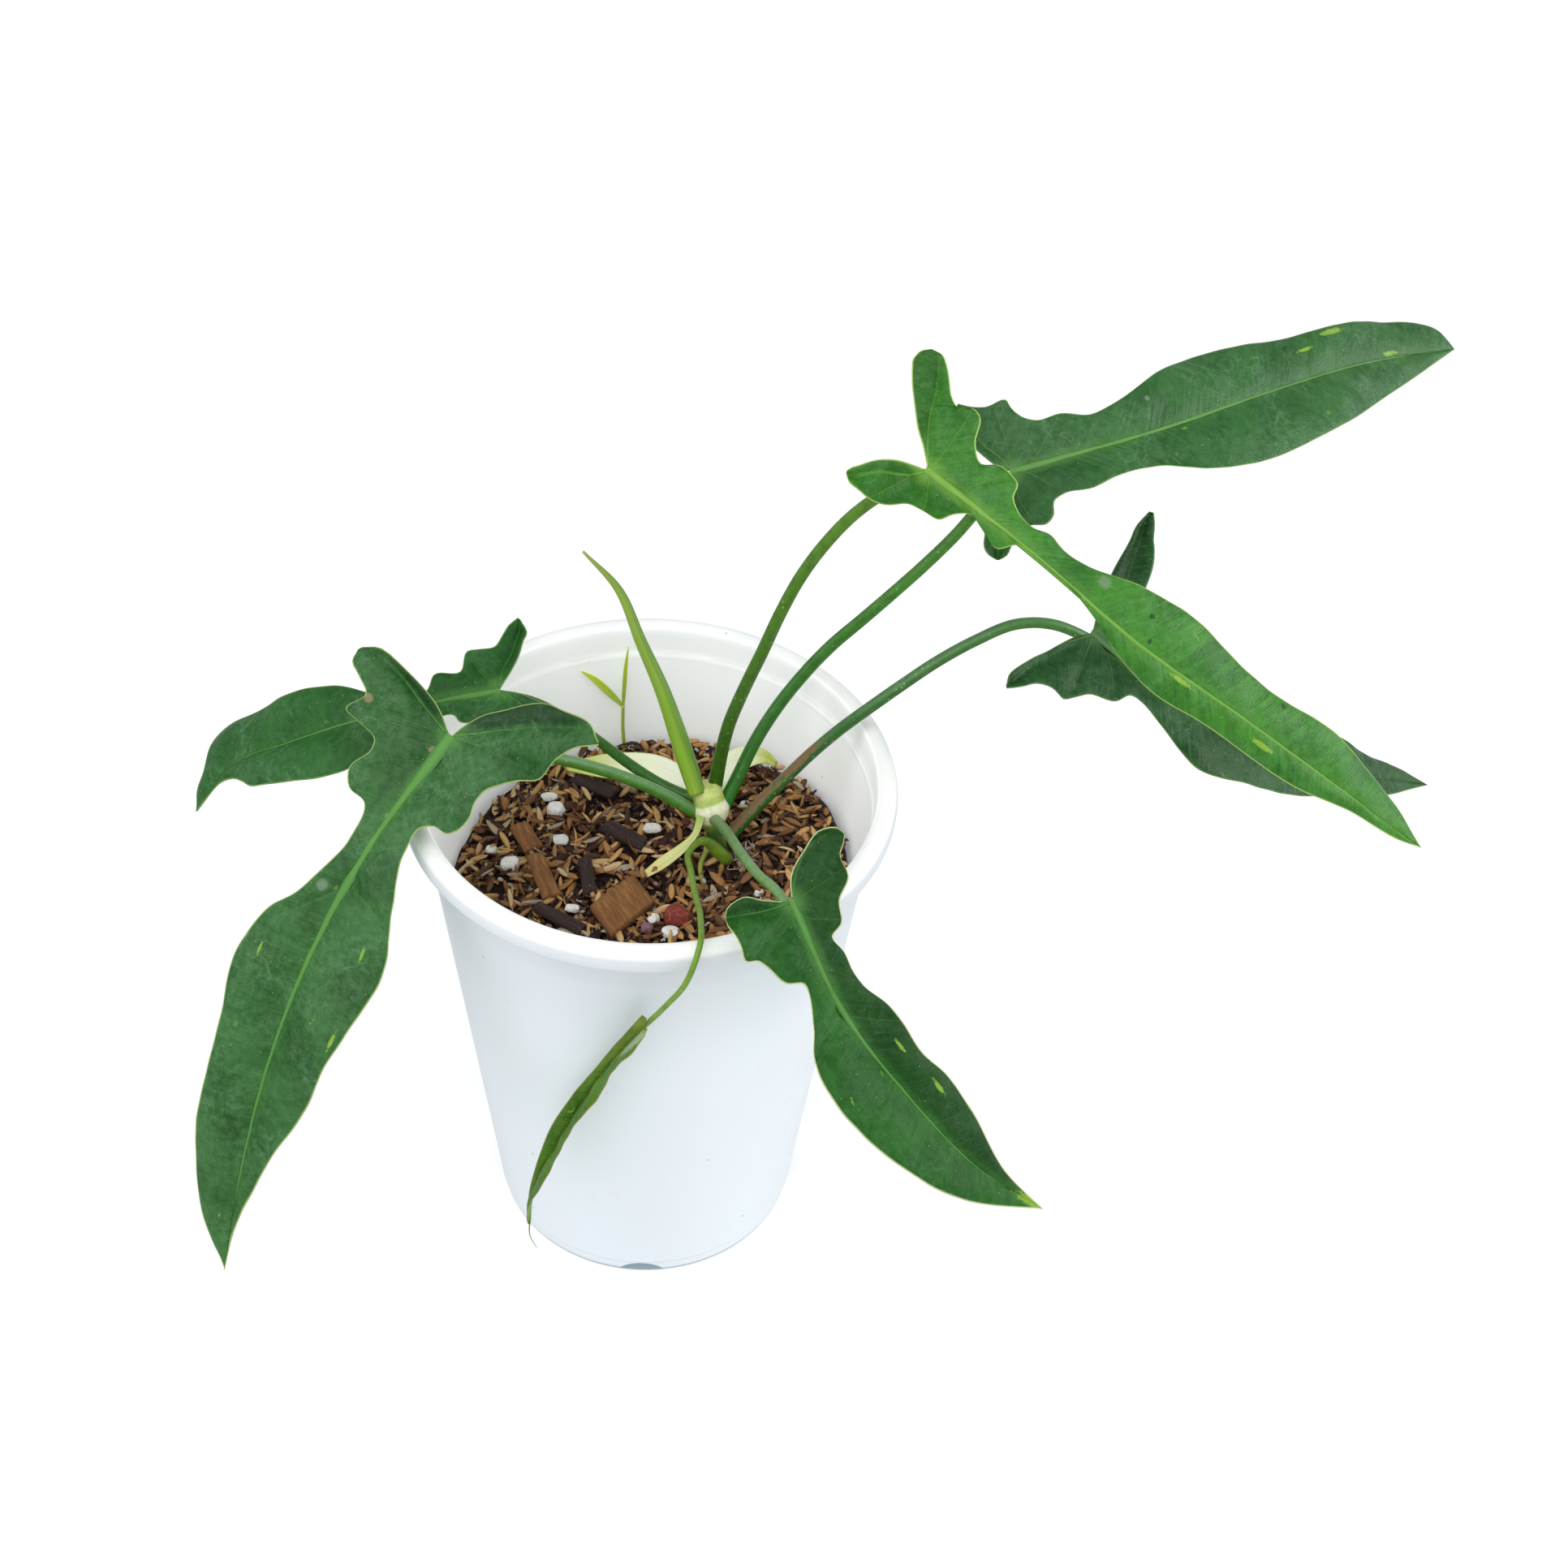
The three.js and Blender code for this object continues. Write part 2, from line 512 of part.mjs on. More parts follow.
// Growing mix: fills the pot to about 60 mm under the rim, banked up at the right, lower at the left
const MIX_LEVEL = 180;
function mixLevelAt([x, y]) {
  const dip = 3 * Math.exp(-((x + 75) ** 2 + (y - 5) ** 2) / 1200);
  return MIX_LEVEL + 0.045 * x + 0.03 * y - dip;
}
function mixHeight(x, y) {
  const bank = 7 * Math.exp(-((x - 72) ** 2 + (y - 42) ** 2) / 900);
  const lumps = 0.8 * Math.sin(x / 6.1 + 1) * Math.cos(y / 7.3) + 0.5 * Math.sin(x / 2.9 + y / 3.7);
  return mixLevelAt([x, y]) + bank + lumps;
}
const MIX_RINGS = 9;
const MIX_SIDES = 44;
function mixSolid() {
  const points = [new THREE.Vector3(0, 0, mixHeight(0, 0))];
  const triangles = [];
  const level = (r, turn) => {
    const x = r * Math.cos(turn);
    const y = r * Math.sin(turn);
    return new THREE.Vector3(x, y, mixHeight(x, y));
  };
  const edge = (z) => (innerRadius(z) - GAP) * 0.9985;
  for (let i = 1; i <= MIX_RINGS; i++) {
    for (let j = 0; j < MIX_SIDES; j++) {
      points.push(level((edge(172) * i) / MIX_RINGS, (j / MIX_SIDES) * 2 * Math.PI));
    }
  }
  for (const z of [165, FLOOR_TOP + 2, FLOOR_TOP + GAP]) {
    const radius = z > 100 ? edge(164) : edge(z) - (z < FLOOR_TOP + 1 ? 1.6 : 0);
    for (let j = 0; j < MIX_SIDES; j++) {
      const turn = (j / MIX_SIDES) * 2 * Math.PI;
      points.push(new THREE.Vector3(radius * Math.cos(turn), radius * Math.sin(turn), z));
    }
  }
  points.push(new THREE.Vector3(0, 0, FLOOR_TOP + GAP));
  const bands = MIX_RINGS + 3;
  for (let j = 0; j < MIX_SIDES; j++) {
    const next = (j + 1) % MIX_SIDES;
    triangles.push([0, 1 + j, 1 + next]);
    for (let i = 0; i < bands - 1; i++) {
      const a = 1 + i * MIX_SIDES + j;
      const b = 1 + i * MIX_SIDES + next;
      triangles.push([a, a + MIX_SIDES, b + MIX_SIDES], [a, b + MIX_SIDES, b]);
    }
    const bottom = 1 + (bands - 1) * MIX_SIDES;
    triangles.push([points.length - 1, bottom + next, bottom + j]);
  }
  return toSolid(closedMesh(points, triangles));
}

// Loose chips: flat boards with four corners, given at the top face
function chip(corners, thickness, grow = 0) {
  const middle = [0, 1].map((n) => corners.reduce((sum, c) => sum + c[n], 0) / 4);
  const points = [];
  for (const drop of [-grow, thickness + grow]) {
    for (const [x, y, up] of corners) {
      const away = Math.hypot(x - middle[0], y - middle[1]);
      const k = 1 + (1.5 * grow) / away;
      const px = middle[0] + (x - middle[0]) * k;
      const py = middle[1] + (y - middle[1]) * k;
      points.push(new THREE.Vector3(px, py, mixLevelAt(middle) + up - drop));
    }
  }
  const triangles = [[0, 1, 2], [0, 2, 3], [4, 6, 5], [4, 7, 6]];
  for (let j = 0; j < 4; j++) {
    const next = (j + 1) % 4;
    triangles.push([j, j + 4, next + 4], [j, next + 4, next]);
  }
  return toSolid(closedMesh(points, triangles));
}

const HUSK = 0x9a6a3c;
const BARK = 0x4a3230;
const chips = [
  { name: "husk_chip_1", color: HUSK, thick: 4,
    corners: [[-60.6, 26, 2.6], [-53.4, 29.5, 3], [-45.6, 15.6, 3.2], [-52.6, 11.6, 2.8]] },
  { name: "husk_chip_2", color: HUSK, thick: 4,
    corners: [[-51.8, 8.6, 3], [-45.2, 10.8, 3.4], [-35.6, -12, 3], [-42.7, -15.2, 2.6]] },
  { name: "husk_chip_3", color: HUSK, thick: 5,
    corners: [[-22.9, -20.3, 3], [-6.6, -1.7, 3.6], [3.2, -16.5, 4], [-12.6, -36.2, 3.4]] },
  { name: "bark_strip_1", color: BARK, thick: 3.5,
    corners: [[-46.5, -21.7, 2.6], [-43.6, -17.6, 2.8], [-23.4, -29.6, 3], [-26, -34.7, 2.6]] },
  { name: "bark_strip_2", color: BARK, thick: 3.5,
    corners: [[-30.2, 6.9, 2.6], [-24.8, 9, 3], [-21, -11, 3], [-26, -13.8, 2.6]] },
  { name: "bark_strip_3", color: BARK, thick: 3.5,
    corners: [[-22.8, 24.6, 2.4], [-18.5, 29.6, 3.2], [-1.8, 18.8, 3.4], [-4.2, 13.2, 2.6]] },
  { name: "bark_strip_4", color: BARK, thick: 3,
    corners: [[-38.6, 53, 1.6], [-33.3, 57.4, 2], [-15.2, 49.6, 2.4], [-19.6, 43.7, 2]] },
];

// Loose grains: half-sizes along x, y and z
function grain(at, half, seed) {
  const geometry = new THREE.IcosahedronGeometry(1, 1);
  geometry.deleteAttribute("normal");
  geometry.deleteAttribute("uv");
  const ball = mergeVertices(geometry, 1e-3);
  const draw = spread(seed);
  const position = ball.attributes.position;
  for (let i = 0; i < position.count; i++) {
    const k = 1 + 0.09 * draw();
    const low = Math.max(position.getZ(i) * k, -1);
    position.setXYZ(i, position.getX(i) * half[0] * k, position.getY(i) * half[1] * k, low * half[2]);
  }
  ball.translate(at[0], at[1], mixLevelAt(at) + half[2] * 0.4);
  return toSolid(ball);
}

// Flat-bottomed pocket in the mix that a grain sits in
const POCKET_HEADROOM = 12;
function pocket(at, half) {
  const depth = half[2] + POCKET_HEADROOM;
  const hole = new THREE.CylinderGeometry(1, 1, depth, 8);
  hole.rotateX(Math.PI / 2);
  hole.scale(half[0] * 1.13 + GAP, half[1] * 1.13 + GAP, 1);
  const low = mixLevelAt(at) - half[2] * 0.6 - GAP;
  hole.translate(at[0], at[1], low + depth / 2);
  return toSolid(hole);
}

const PERLITE = 0xf4f3ee;
const grains = [
  { name: "red_stone", color: 0x8c3a36, at: [12.9, -22.1], half: [5.6, 4.1, 3.8] },
  { name: "violet_stone", color: 0x8a5a68, at: [1, -29.1], half: [2.6, 2.1, 2.1] },
  { name: "brown_stone", color: 0x6b3a34, at: [13.3, 31.5], half: [2, 1.9, 1.8] },
  { name: "perlite_1", color: PERLITE, at: [-42.1, 37.3], half: [4.2, 3.4, 3] },
  { name: "perlite_2", color: PERLITE, at: [-45.6, 45.3], half: [3.4, 1.7, 1.8] },
  { name: "perlite_3", color: PERLITE, at: [-38.2, 20.6], half: [3.3, 2.4, 2.2] },
  { name: "perlite_4", color: PERLITE, at: [-58.4, 7.2], half: [3.8, 3.1, 2.9] },
  { name: "perlite_5", color: PERLITE, at: [-67.2, 15.8], half: [2.2, 2, 1.8] },
  { name: "perlite_6", color: PERLITE, at: [-30.5, -18.5], half: [3, 1.8, 1.6] },
  { name: "perlite_7", color: PERLITE, at: [-0.8, 27.5], half: [3.8, 2.2, 2] },
  { name: "perlite_8", color: PERLITE, at: [38, 42], half: [2.8, 2.3, 2.1] },
  { name: "perlite_9", color: PERLITE, at: [10.8, -31.1], half: [3.3, 2.6, 2.3] },
  { name: "perlite_10", color: PERLITE, at: [3.4, -24], half: [2.4, 2.2, 2.1] },
  { name: "perlite_11", color: PERLITE, at: [-24, 60], half: [3.8, 1.6, 1.5] },
  { name: "perlite_12", color: PERLITE, at: [45.8, -7.8], half: [1.9, 1.7, 1.6] },
];

// Rice hulls lying in the surface of the mix, half sunk
const HULL_COUNT = 36;
const draw = spread(4127);
let mix = mixSolid();
for (let i = 0; i < HULL_COUNT; i++) {
  const r = 72 * Math.sqrt((draw() + 1) / 2);
  const turn = Math.PI * draw();
  const hull = new THREE.OctahedronGeometry(1, 0);
  hull.scale(4.2, 1.5, 1.3);
  hull.rotateZ(Math.PI * draw());
  const x = r * Math.cos(turn);
  const y = r * Math.sin(turn);
  hull.translate(x, y, mixHeight(x, y) + 0.3);
  mix = mix.add(toSolid(hull));
}
chips.forEach(({ name, color, corners, thick }) => {
  place(name, toGeometry(chip(corners, thick)), color, 0.85);
  mix = mix.subtract(chip(corners, thick, GAP));
});
grains.forEach(({ name, color, at, half }, i) => {
  place(name, toGeometry(grain(at, half, 31 + 7 * i)), color, 0.9);
  mix = mix.subtract(pocket(at, half));
});
mix = mix.subtract(stemSolid(GAP)).subtract(rootSolid(GAP));
for (const solid of sheathSolids(GAP)) {
  mix = mix.subtract(solid);
}
const seedlingHole = [[-16.2, 79, 172 - GAP]].concat(seedlingStalk.slice(1));
mix = mix.subtract(stalk(smoothCurve(seedlingHole), () => 0.8 + GAP, 5, 6));
place("growing_mix", toGeometry(mix), 0x6e4a30, 0.95);

export default group;
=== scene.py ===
"""Potted philodendron with long three-lobed leaves: every visible piece and its finish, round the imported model."""
import math

import bmesh
import bpy
import numpy as np
from mathutils import Matrix, Vector


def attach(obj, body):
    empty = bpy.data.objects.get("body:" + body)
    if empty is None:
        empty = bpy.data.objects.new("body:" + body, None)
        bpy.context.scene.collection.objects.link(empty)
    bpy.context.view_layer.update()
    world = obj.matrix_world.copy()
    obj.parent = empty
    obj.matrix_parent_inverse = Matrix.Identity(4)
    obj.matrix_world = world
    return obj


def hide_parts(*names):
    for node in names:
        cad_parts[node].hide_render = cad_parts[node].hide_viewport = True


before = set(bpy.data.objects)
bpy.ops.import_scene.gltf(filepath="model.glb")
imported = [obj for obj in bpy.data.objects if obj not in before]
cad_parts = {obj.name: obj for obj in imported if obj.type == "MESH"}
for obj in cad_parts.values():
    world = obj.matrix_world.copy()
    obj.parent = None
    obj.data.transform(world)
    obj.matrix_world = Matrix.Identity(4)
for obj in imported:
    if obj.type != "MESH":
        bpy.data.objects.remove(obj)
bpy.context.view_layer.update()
MM = 0.001
FULL_TURN = 2 * math.pi

# Camera, fitted to the rim and foot of the pot
CAMERA_AT = Vector((53.8, -873.1, 1064.2)) * MM
CAMERA_UP = Vector((-0.0525, 0.6861, 0.7256))
CAMERA_BACK = Vector((0, -0.7266, 0.6871))
FOCAL_PIXELS = 3689
PHOTO_PIXELS = 1932
SENSOR_WIDTH = 36


def linked(name, data):
    """A new object in the scene that holds the data."""
    made = bpy.data.objects.new(name, data)
    bpy.context.collection.objects.link(made)
    return made


def add_camera():
    data = bpy.data.cameras.new("camera")
    data.sensor_width = SENSOR_WIDTH
    data.lens = FOCAL_PIXELS / PHOTO_PIXELS * SENSOR_WIDTH
    back = CAMERA_BACK.normalized()
    right = CAMERA_UP.cross(back).normalized()
    turn = Matrix((right, back.cross(right), back)).transposed().to_4x4()
    camera = linked("camera", data)
    camera.matrix_world = Matrix.Translation(CAMERA_AT) @ turn
    bpy.context.scene.camera = camera


add_camera()


# Shader maths. Colours are written from 0 to 255, as they look on a screen.

def paint(red, green, blue):
    """A screen colour as linear light."""
    linear = [((c / 255 + 0.055) / 1.055) ** 2.4 if c > 10 else c / 255 / 12.92 for c in (red, green, blue)]
    return (*linear, 1)


def scaled(color, share):
    """A lighter or darker screen colour."""
    return [round(c * share) for c in color]


class Socket:
    """One output of a shader node. Arithmetic on it adds Math nodes."""

    def __init__(self, finish, out):
        self.finish = finish
        self.out = out

    def work(self, operation, first, second=0.0, clamp=False):
        return self.finish.node("ShaderNodeMath", {"operation": operation, "use_clamp": clamp}, {0: first, 1: second})

    def __add__(self, other):
        return self.work("ADD", self, other)

    __radd__ = __add__

    def __sub__(self, other):
        return self.work("SUBTRACT", self, other)

    def __rsub__(self, other):
        return self.work("SUBTRACT", other, self)

    def __mul__(self, other):
        return self.work("MULTIPLY", self, other)

    __rmul__ = __mul__

    def __abs__(self):
        return self.work("ABSOLUTE", self)

    def fraction(self):
        return self.work("FRACT", self)

    def most(self, other):
        return self.work("MAXIMUM", self, other)

    def clamped(self):
        return self.work("ADD", self, 0.0, clamp=True)

    def between(self, low, high, start=0.0, end=1.0):
        """A smooth ramp from start to end, as the value goes from low to high."""
        return self.finish.node(
            "ShaderNodeMapRange", {"interpolation_type": "SMOOTHSTEP"}, {0: self, 1: low, 2: high, 3: start, 4: end})

    def fading(self, low, high, most=1.0):
        """A smooth ramp down to 0."""
        return self.between(low, high, most, 0.0)


class Finish:
    """A material with one shader, one way to add any other node, and a base colour built up in layers."""

    def __init__(self, name, roughness=0.5, **constants):
        self.material = bpy.data.materials.new(name)
        self.material.use_nodes = True
        self.tree = self.material.node_tree
        self.shader = self.tree.nodes["Principled BSDF"]
        self.set("Roughness", roughness)
        for label, value in constants.items():
            self.set(label.replace("_", " "), value)

    def set(self, label, value):
        if isinstance(value, Socket):
            self.tree.links.new(value.out, self.shader.inputs[label])
        else:
            self.shader.inputs[label].default_value = value

    def node(self, kind, settings=None, sockets=None, output=0):
        made = self.tree.nodes.new(kind)
        for name, value in (settings or {}).items():
            if name == "stops":
                ramp = made.color_ramp.elements
                while len(ramp) < len(value):
                    ramp.new(1.0)
                for element, (place, color) in zip(ramp, value):
                    element.position = place
                    element.color = paint(*color)
            else:
                setattr(made, name, value)
        for name, value in (sockets or {}).items():
            if isinstance(value, Socket):
                self.tree.links.new(value.out, made.inputs[name])
            else:
                made.inputs[name].default_value = value
        return Socket(self, made.outputs[output])

    def mix(self, share, first, second):
        return self.node("ShaderNodeMix", {"data_type": "RGBA"}, {0: share, 6: first, 7: second}, output=2)

    def coat(self, color):
        """Sets the base colour."""
        self.color = color
        self.set("Base Color", color)

    def tones(self, share, first, second):
        """Sets the base colour to a mix of two colours."""
        self.coat(self.mix(share, paint(*first), paint(*second)))

    def ramp(self, value, *stops):
        """Sets the base colour to a ramp of colours, each with its place from 0 to 1."""
        self.coat(self.node("ShaderNodeValToRGB", {"stops": stops}, {0: value}))

    def over(self, share, color):
        """Lays a colour over the base colour."""
        self.coat(self.mix(share, self.color, paint(*color)))

    def part(self, vector, axis):
        return self.node("ShaderNodeSeparateXYZ", sockets={0: vector}, output=axis)

    def values(self, name):
        """The three numbers that a mesh holds under a name at each point."""
        vector = self.node("ShaderNodeAttribute", {"attribute_name": name}, output=1)
        return [self.part(vector, axis) for axis in range(3)]

    def facing(self, axis):
        """How far the surface faces along an axis, from -1 to 1."""
        return self.part(self.node("ShaderNodeNewGeometry", output=1), axis)

    def vector(self, x=0.0, y=0.0, z=0.0):
        return self.node("ShaderNodeCombineXYZ", sockets={0: x, 1: y, 2: z})

    def length(self, vector):
        return self.node("ShaderNodeVectorMath", {"operation": "LENGTH"}, {0: vector}, output=1)

    def here(self):
        return self.node("ShaderNodeTexCoord", output=3)

    def noise(self, place, scale, detail=2.0, rough=0.5):
        return self.node(
            "ShaderNodeTexNoise", {}, {"Vector": place, "Scale": scale, "Detail": detail, "Roughness": rough})

    def cells(self, place, scale):
        """Distance to the nearest of many scattered points."""
        return self.node("ShaderNodeTexVoronoi", {}, {"Vector": place, "Scale": scale})

    def relief(self, height, depth):
        """Bump of a height from 0 to 1, with its depth in millimetres."""
        bump = self.node("ShaderNodeBump", {}, {"Height": height, "Distance": depth * MM, "Strength": 1.0})
        self.set("Normal", bump)


# Meshes, in millimetres

class Shape:
    """Gathers one piece: points, faces, the finish of each face, and named values at each point."""

    def __init__(self, *value_names):
        self.points = []
        self.faces = []
        self.slots = []
        self.count = 0
        self.values = {name: [] for name in value_names}

    def add(self, points, faces, slot=0, **values):
        """Adds a part. Its finish is one slot, or a list with a slot for each face."""
        points = np.asarray(points, float)
        self.points.append(points)
        self.faces += [[int(i) + self.count for i in face] for face in faces]
        self.slots += slot if isinstance(slot, list) else [slot] * len(faces)
        for name, held in self.values.items():
            held.append(np.broadcast_to(np.asarray(values.get(name, (0, 0, 0)), float), (len(points), 3)))
        self.count += len(points)

    def piece(self, name, finishes, nodes=()):
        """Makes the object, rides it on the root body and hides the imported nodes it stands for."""
        mesh = bpy.data.meshes.new(name)
        mesh.from_pydata(np.concatenate(self.points) * MM, [], self.faces)
        for finish in finishes:
            mesh.materials.append(finish.material)
        mesh.polygons.foreach_set("material_index", self.slots)
        for label, held in self.values.items():
            layer = mesh.attributes.new(label, "FLOAT_VECTOR", "POINT")
            layer.data.foreach_set("vector", np.concatenate(held).ravel())
        work = bmesh.new()
        work.from_mesh(mesh)
        bmesh.ops.recalc_face_normals(work, faces=work.faces)
        work.to_mesh(mesh)
        work.free()
        mesh.polygons.foreach_set("use_smooth", [True] * len(mesh.polygons))
        made = linked(name, mesh)
        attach(made, "root")
        if nodes:
            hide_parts(*nodes)
        return made


def unit(vectors):
    vectors = np.asarray(vectors, float)
    return vectors / np.linalg.norm(vectors, axis=-1, keepdims=True)


def blend(start, end, share):
    return start + (end - start) * share


def smooth_step(value, low, high):
    share = np.clip((value - low) / (high - low), 0, 1)
    return share * share * (3 - 2 * share)


def bell(value, middle, spread):
    return np.exp(-((value - middle) / spread) ** 2)


def strip_faces(rows, columns, closed=False):
    """Quads of a grid of points held row by row. A closed grid joins its last column to its first."""
    faces = []
    for row in range(rows - 1):
        for column in range(columns if closed else columns - 1):
            a = row * columns + column
            b = row * columns + (column + 1) % columns
            faces.append((a, b, b + columns, a + columns))
    return faces


def border(rows, columns):
    """The points round the edge of a grid, in order."""
    top = list(range(columns))
    right = [row * columns + columns - 1 for row in range(1, rows)]
    bottom = [(rows - 1) * columns + column for column in range(columns - 2, -1, -1)]
    left = [row * columns for row in range(rows - 2, 0, -1)]
    return top + right + bottom + left


def slab_faces(rows, columns):
    """Upper faces, under faces and rim of a closed slab: a grid of points and then the same grid below it."""
    count = rows * columns
    upper = strip_faces(rows, columns)
    under = [tuple(i + count for i in face[::-1]) for face in upper]
    edge = border(rows, columns)
    return upper, under, [(a, b, b + count, a + count) for a, b in zip(edge, edge[1:] + edge[:1])]


def stack_faces(rings, sides):
    """Faces of a closed stack of rings, whose two end points come after the rings."""
    faces = strip_faces(rings, sides, closed=True)
    last = (rings - 1) * sides
    for j in range(sides):
        after = (j + 1) % sides
        faces += [(j, after, rings * sides), (last + after, last + j, rings * sides + 1)]
    return faces


def round_turns(sides):
    return np.arange(sides) / sides * FULL_TURN


def ring(radius, height, sides):
    turns = round_turns(sides)
    return np.stack([radius * np.cos(turns), radius * np.sin(turns), np.full(sides, height)], axis=-1)


class Path:
    """A smooth line through knots, looked up by its length."""

    def __init__(self, knots, steps=24):
        knots = np.asarray(knots, float)
        ends = np.vstack([2 * knots[0] - knots[1], knots, 2 * knots[-1] - knots[-2]])
        share = (np.arange(steps) / steps)[:, None]
        spans = []
        for a, b, c, d in zip(ends, ends[1:], ends[2:], ends[3:]):
            spans.append(0.5 * (2 * b + (c - a) * share + (2 * a - 5 * b + 4 * c - d) * share ** 2
                                + (3 * b - a - 3 * c + d) * share ** 3))
        self.points = np.vstack([*spans, knots[-1:]])
        self.lengths = np.r_[0, np.cumsum(np.linalg.norm(np.diff(self.points, axis=0), axis=1))]
        self.length = self.lengths[-1]

    def at(self, length):
        columns = [np.interp(length, self.lengths, column) for column in self.points.T]
        return np.stack(columns, axis=-1)

    def along(self, length):
        reach = self.length * 0.01
        ahead = self.at(np.minimum(length + reach, self.length))
        return unit(ahead - self.at(np.maximum(length - reach, 0)))


def smooth_through(keys, values, wanted):
    """Values at the wanted keys, on a smooth line through those given."""
    keys = np.asarray(keys, float)
    values = np.asarray(values, float)
    slopes = np.gradient(values, keys, axis=0)
    i = np.clip(np.searchsorted(keys, wanted, side="right") - 1, 0, len(keys) - 2)
    span = (keys[i + 1] - keys[i])[:, None]
    t = (np.asarray(wanted)[:, None] - keys[i][:, None]) / span
    return ((2 * t ** 3 - 3 * t ** 2 + 1) * values[i] + (t ** 3 - 2 * t ** 2 + t) * span * slopes[i]
            + (3 * t ** 2 - 2 * t ** 3) * values[i + 1] + (t ** 3 - t ** 2) * span * slopes[i + 1])


def tube(path, stations, radii, sides, ridge=None):
    """A closed round tube along a path: points, faces, and for each point its length, share and turn.

    ridge(turn) scales the radius round the section.
    """
    lengths = np.linspace(0, path.length, stations)
    centres = path.at(lengths)
    along = unit(np.gradient(centres, axis=0))
    normal = unit(np.cross(along[0], [0.3, 0.2, 0.93]))
    turns = round_turns(sides)
    swell = np.array([ridge(turn) if ridge else 1.0 for turn in turns])
    points = []
    for centre, forward, radius in zip(centres, along, radii):
        normal = unit(normal - forward * np.dot(normal, forward))
        side = np.cross(forward, normal)
        section = np.outer(np.cos(turns) * swell * radius, normal) + np.outer(np.sin(turns) * swell * radius, side)
        points.append(centre + section)
    points = np.vstack([*points, centres[:1], centres[-1:]])
    far = np.r_[np.repeat(lengths, sides), 0, path.length]
    place = np.stack([far, far / path.length, np.r_[np.tile(turns / FULL_TURN, stations), 0, 0]], axis=-1)
    return points, stack_faces(stations, sides), place
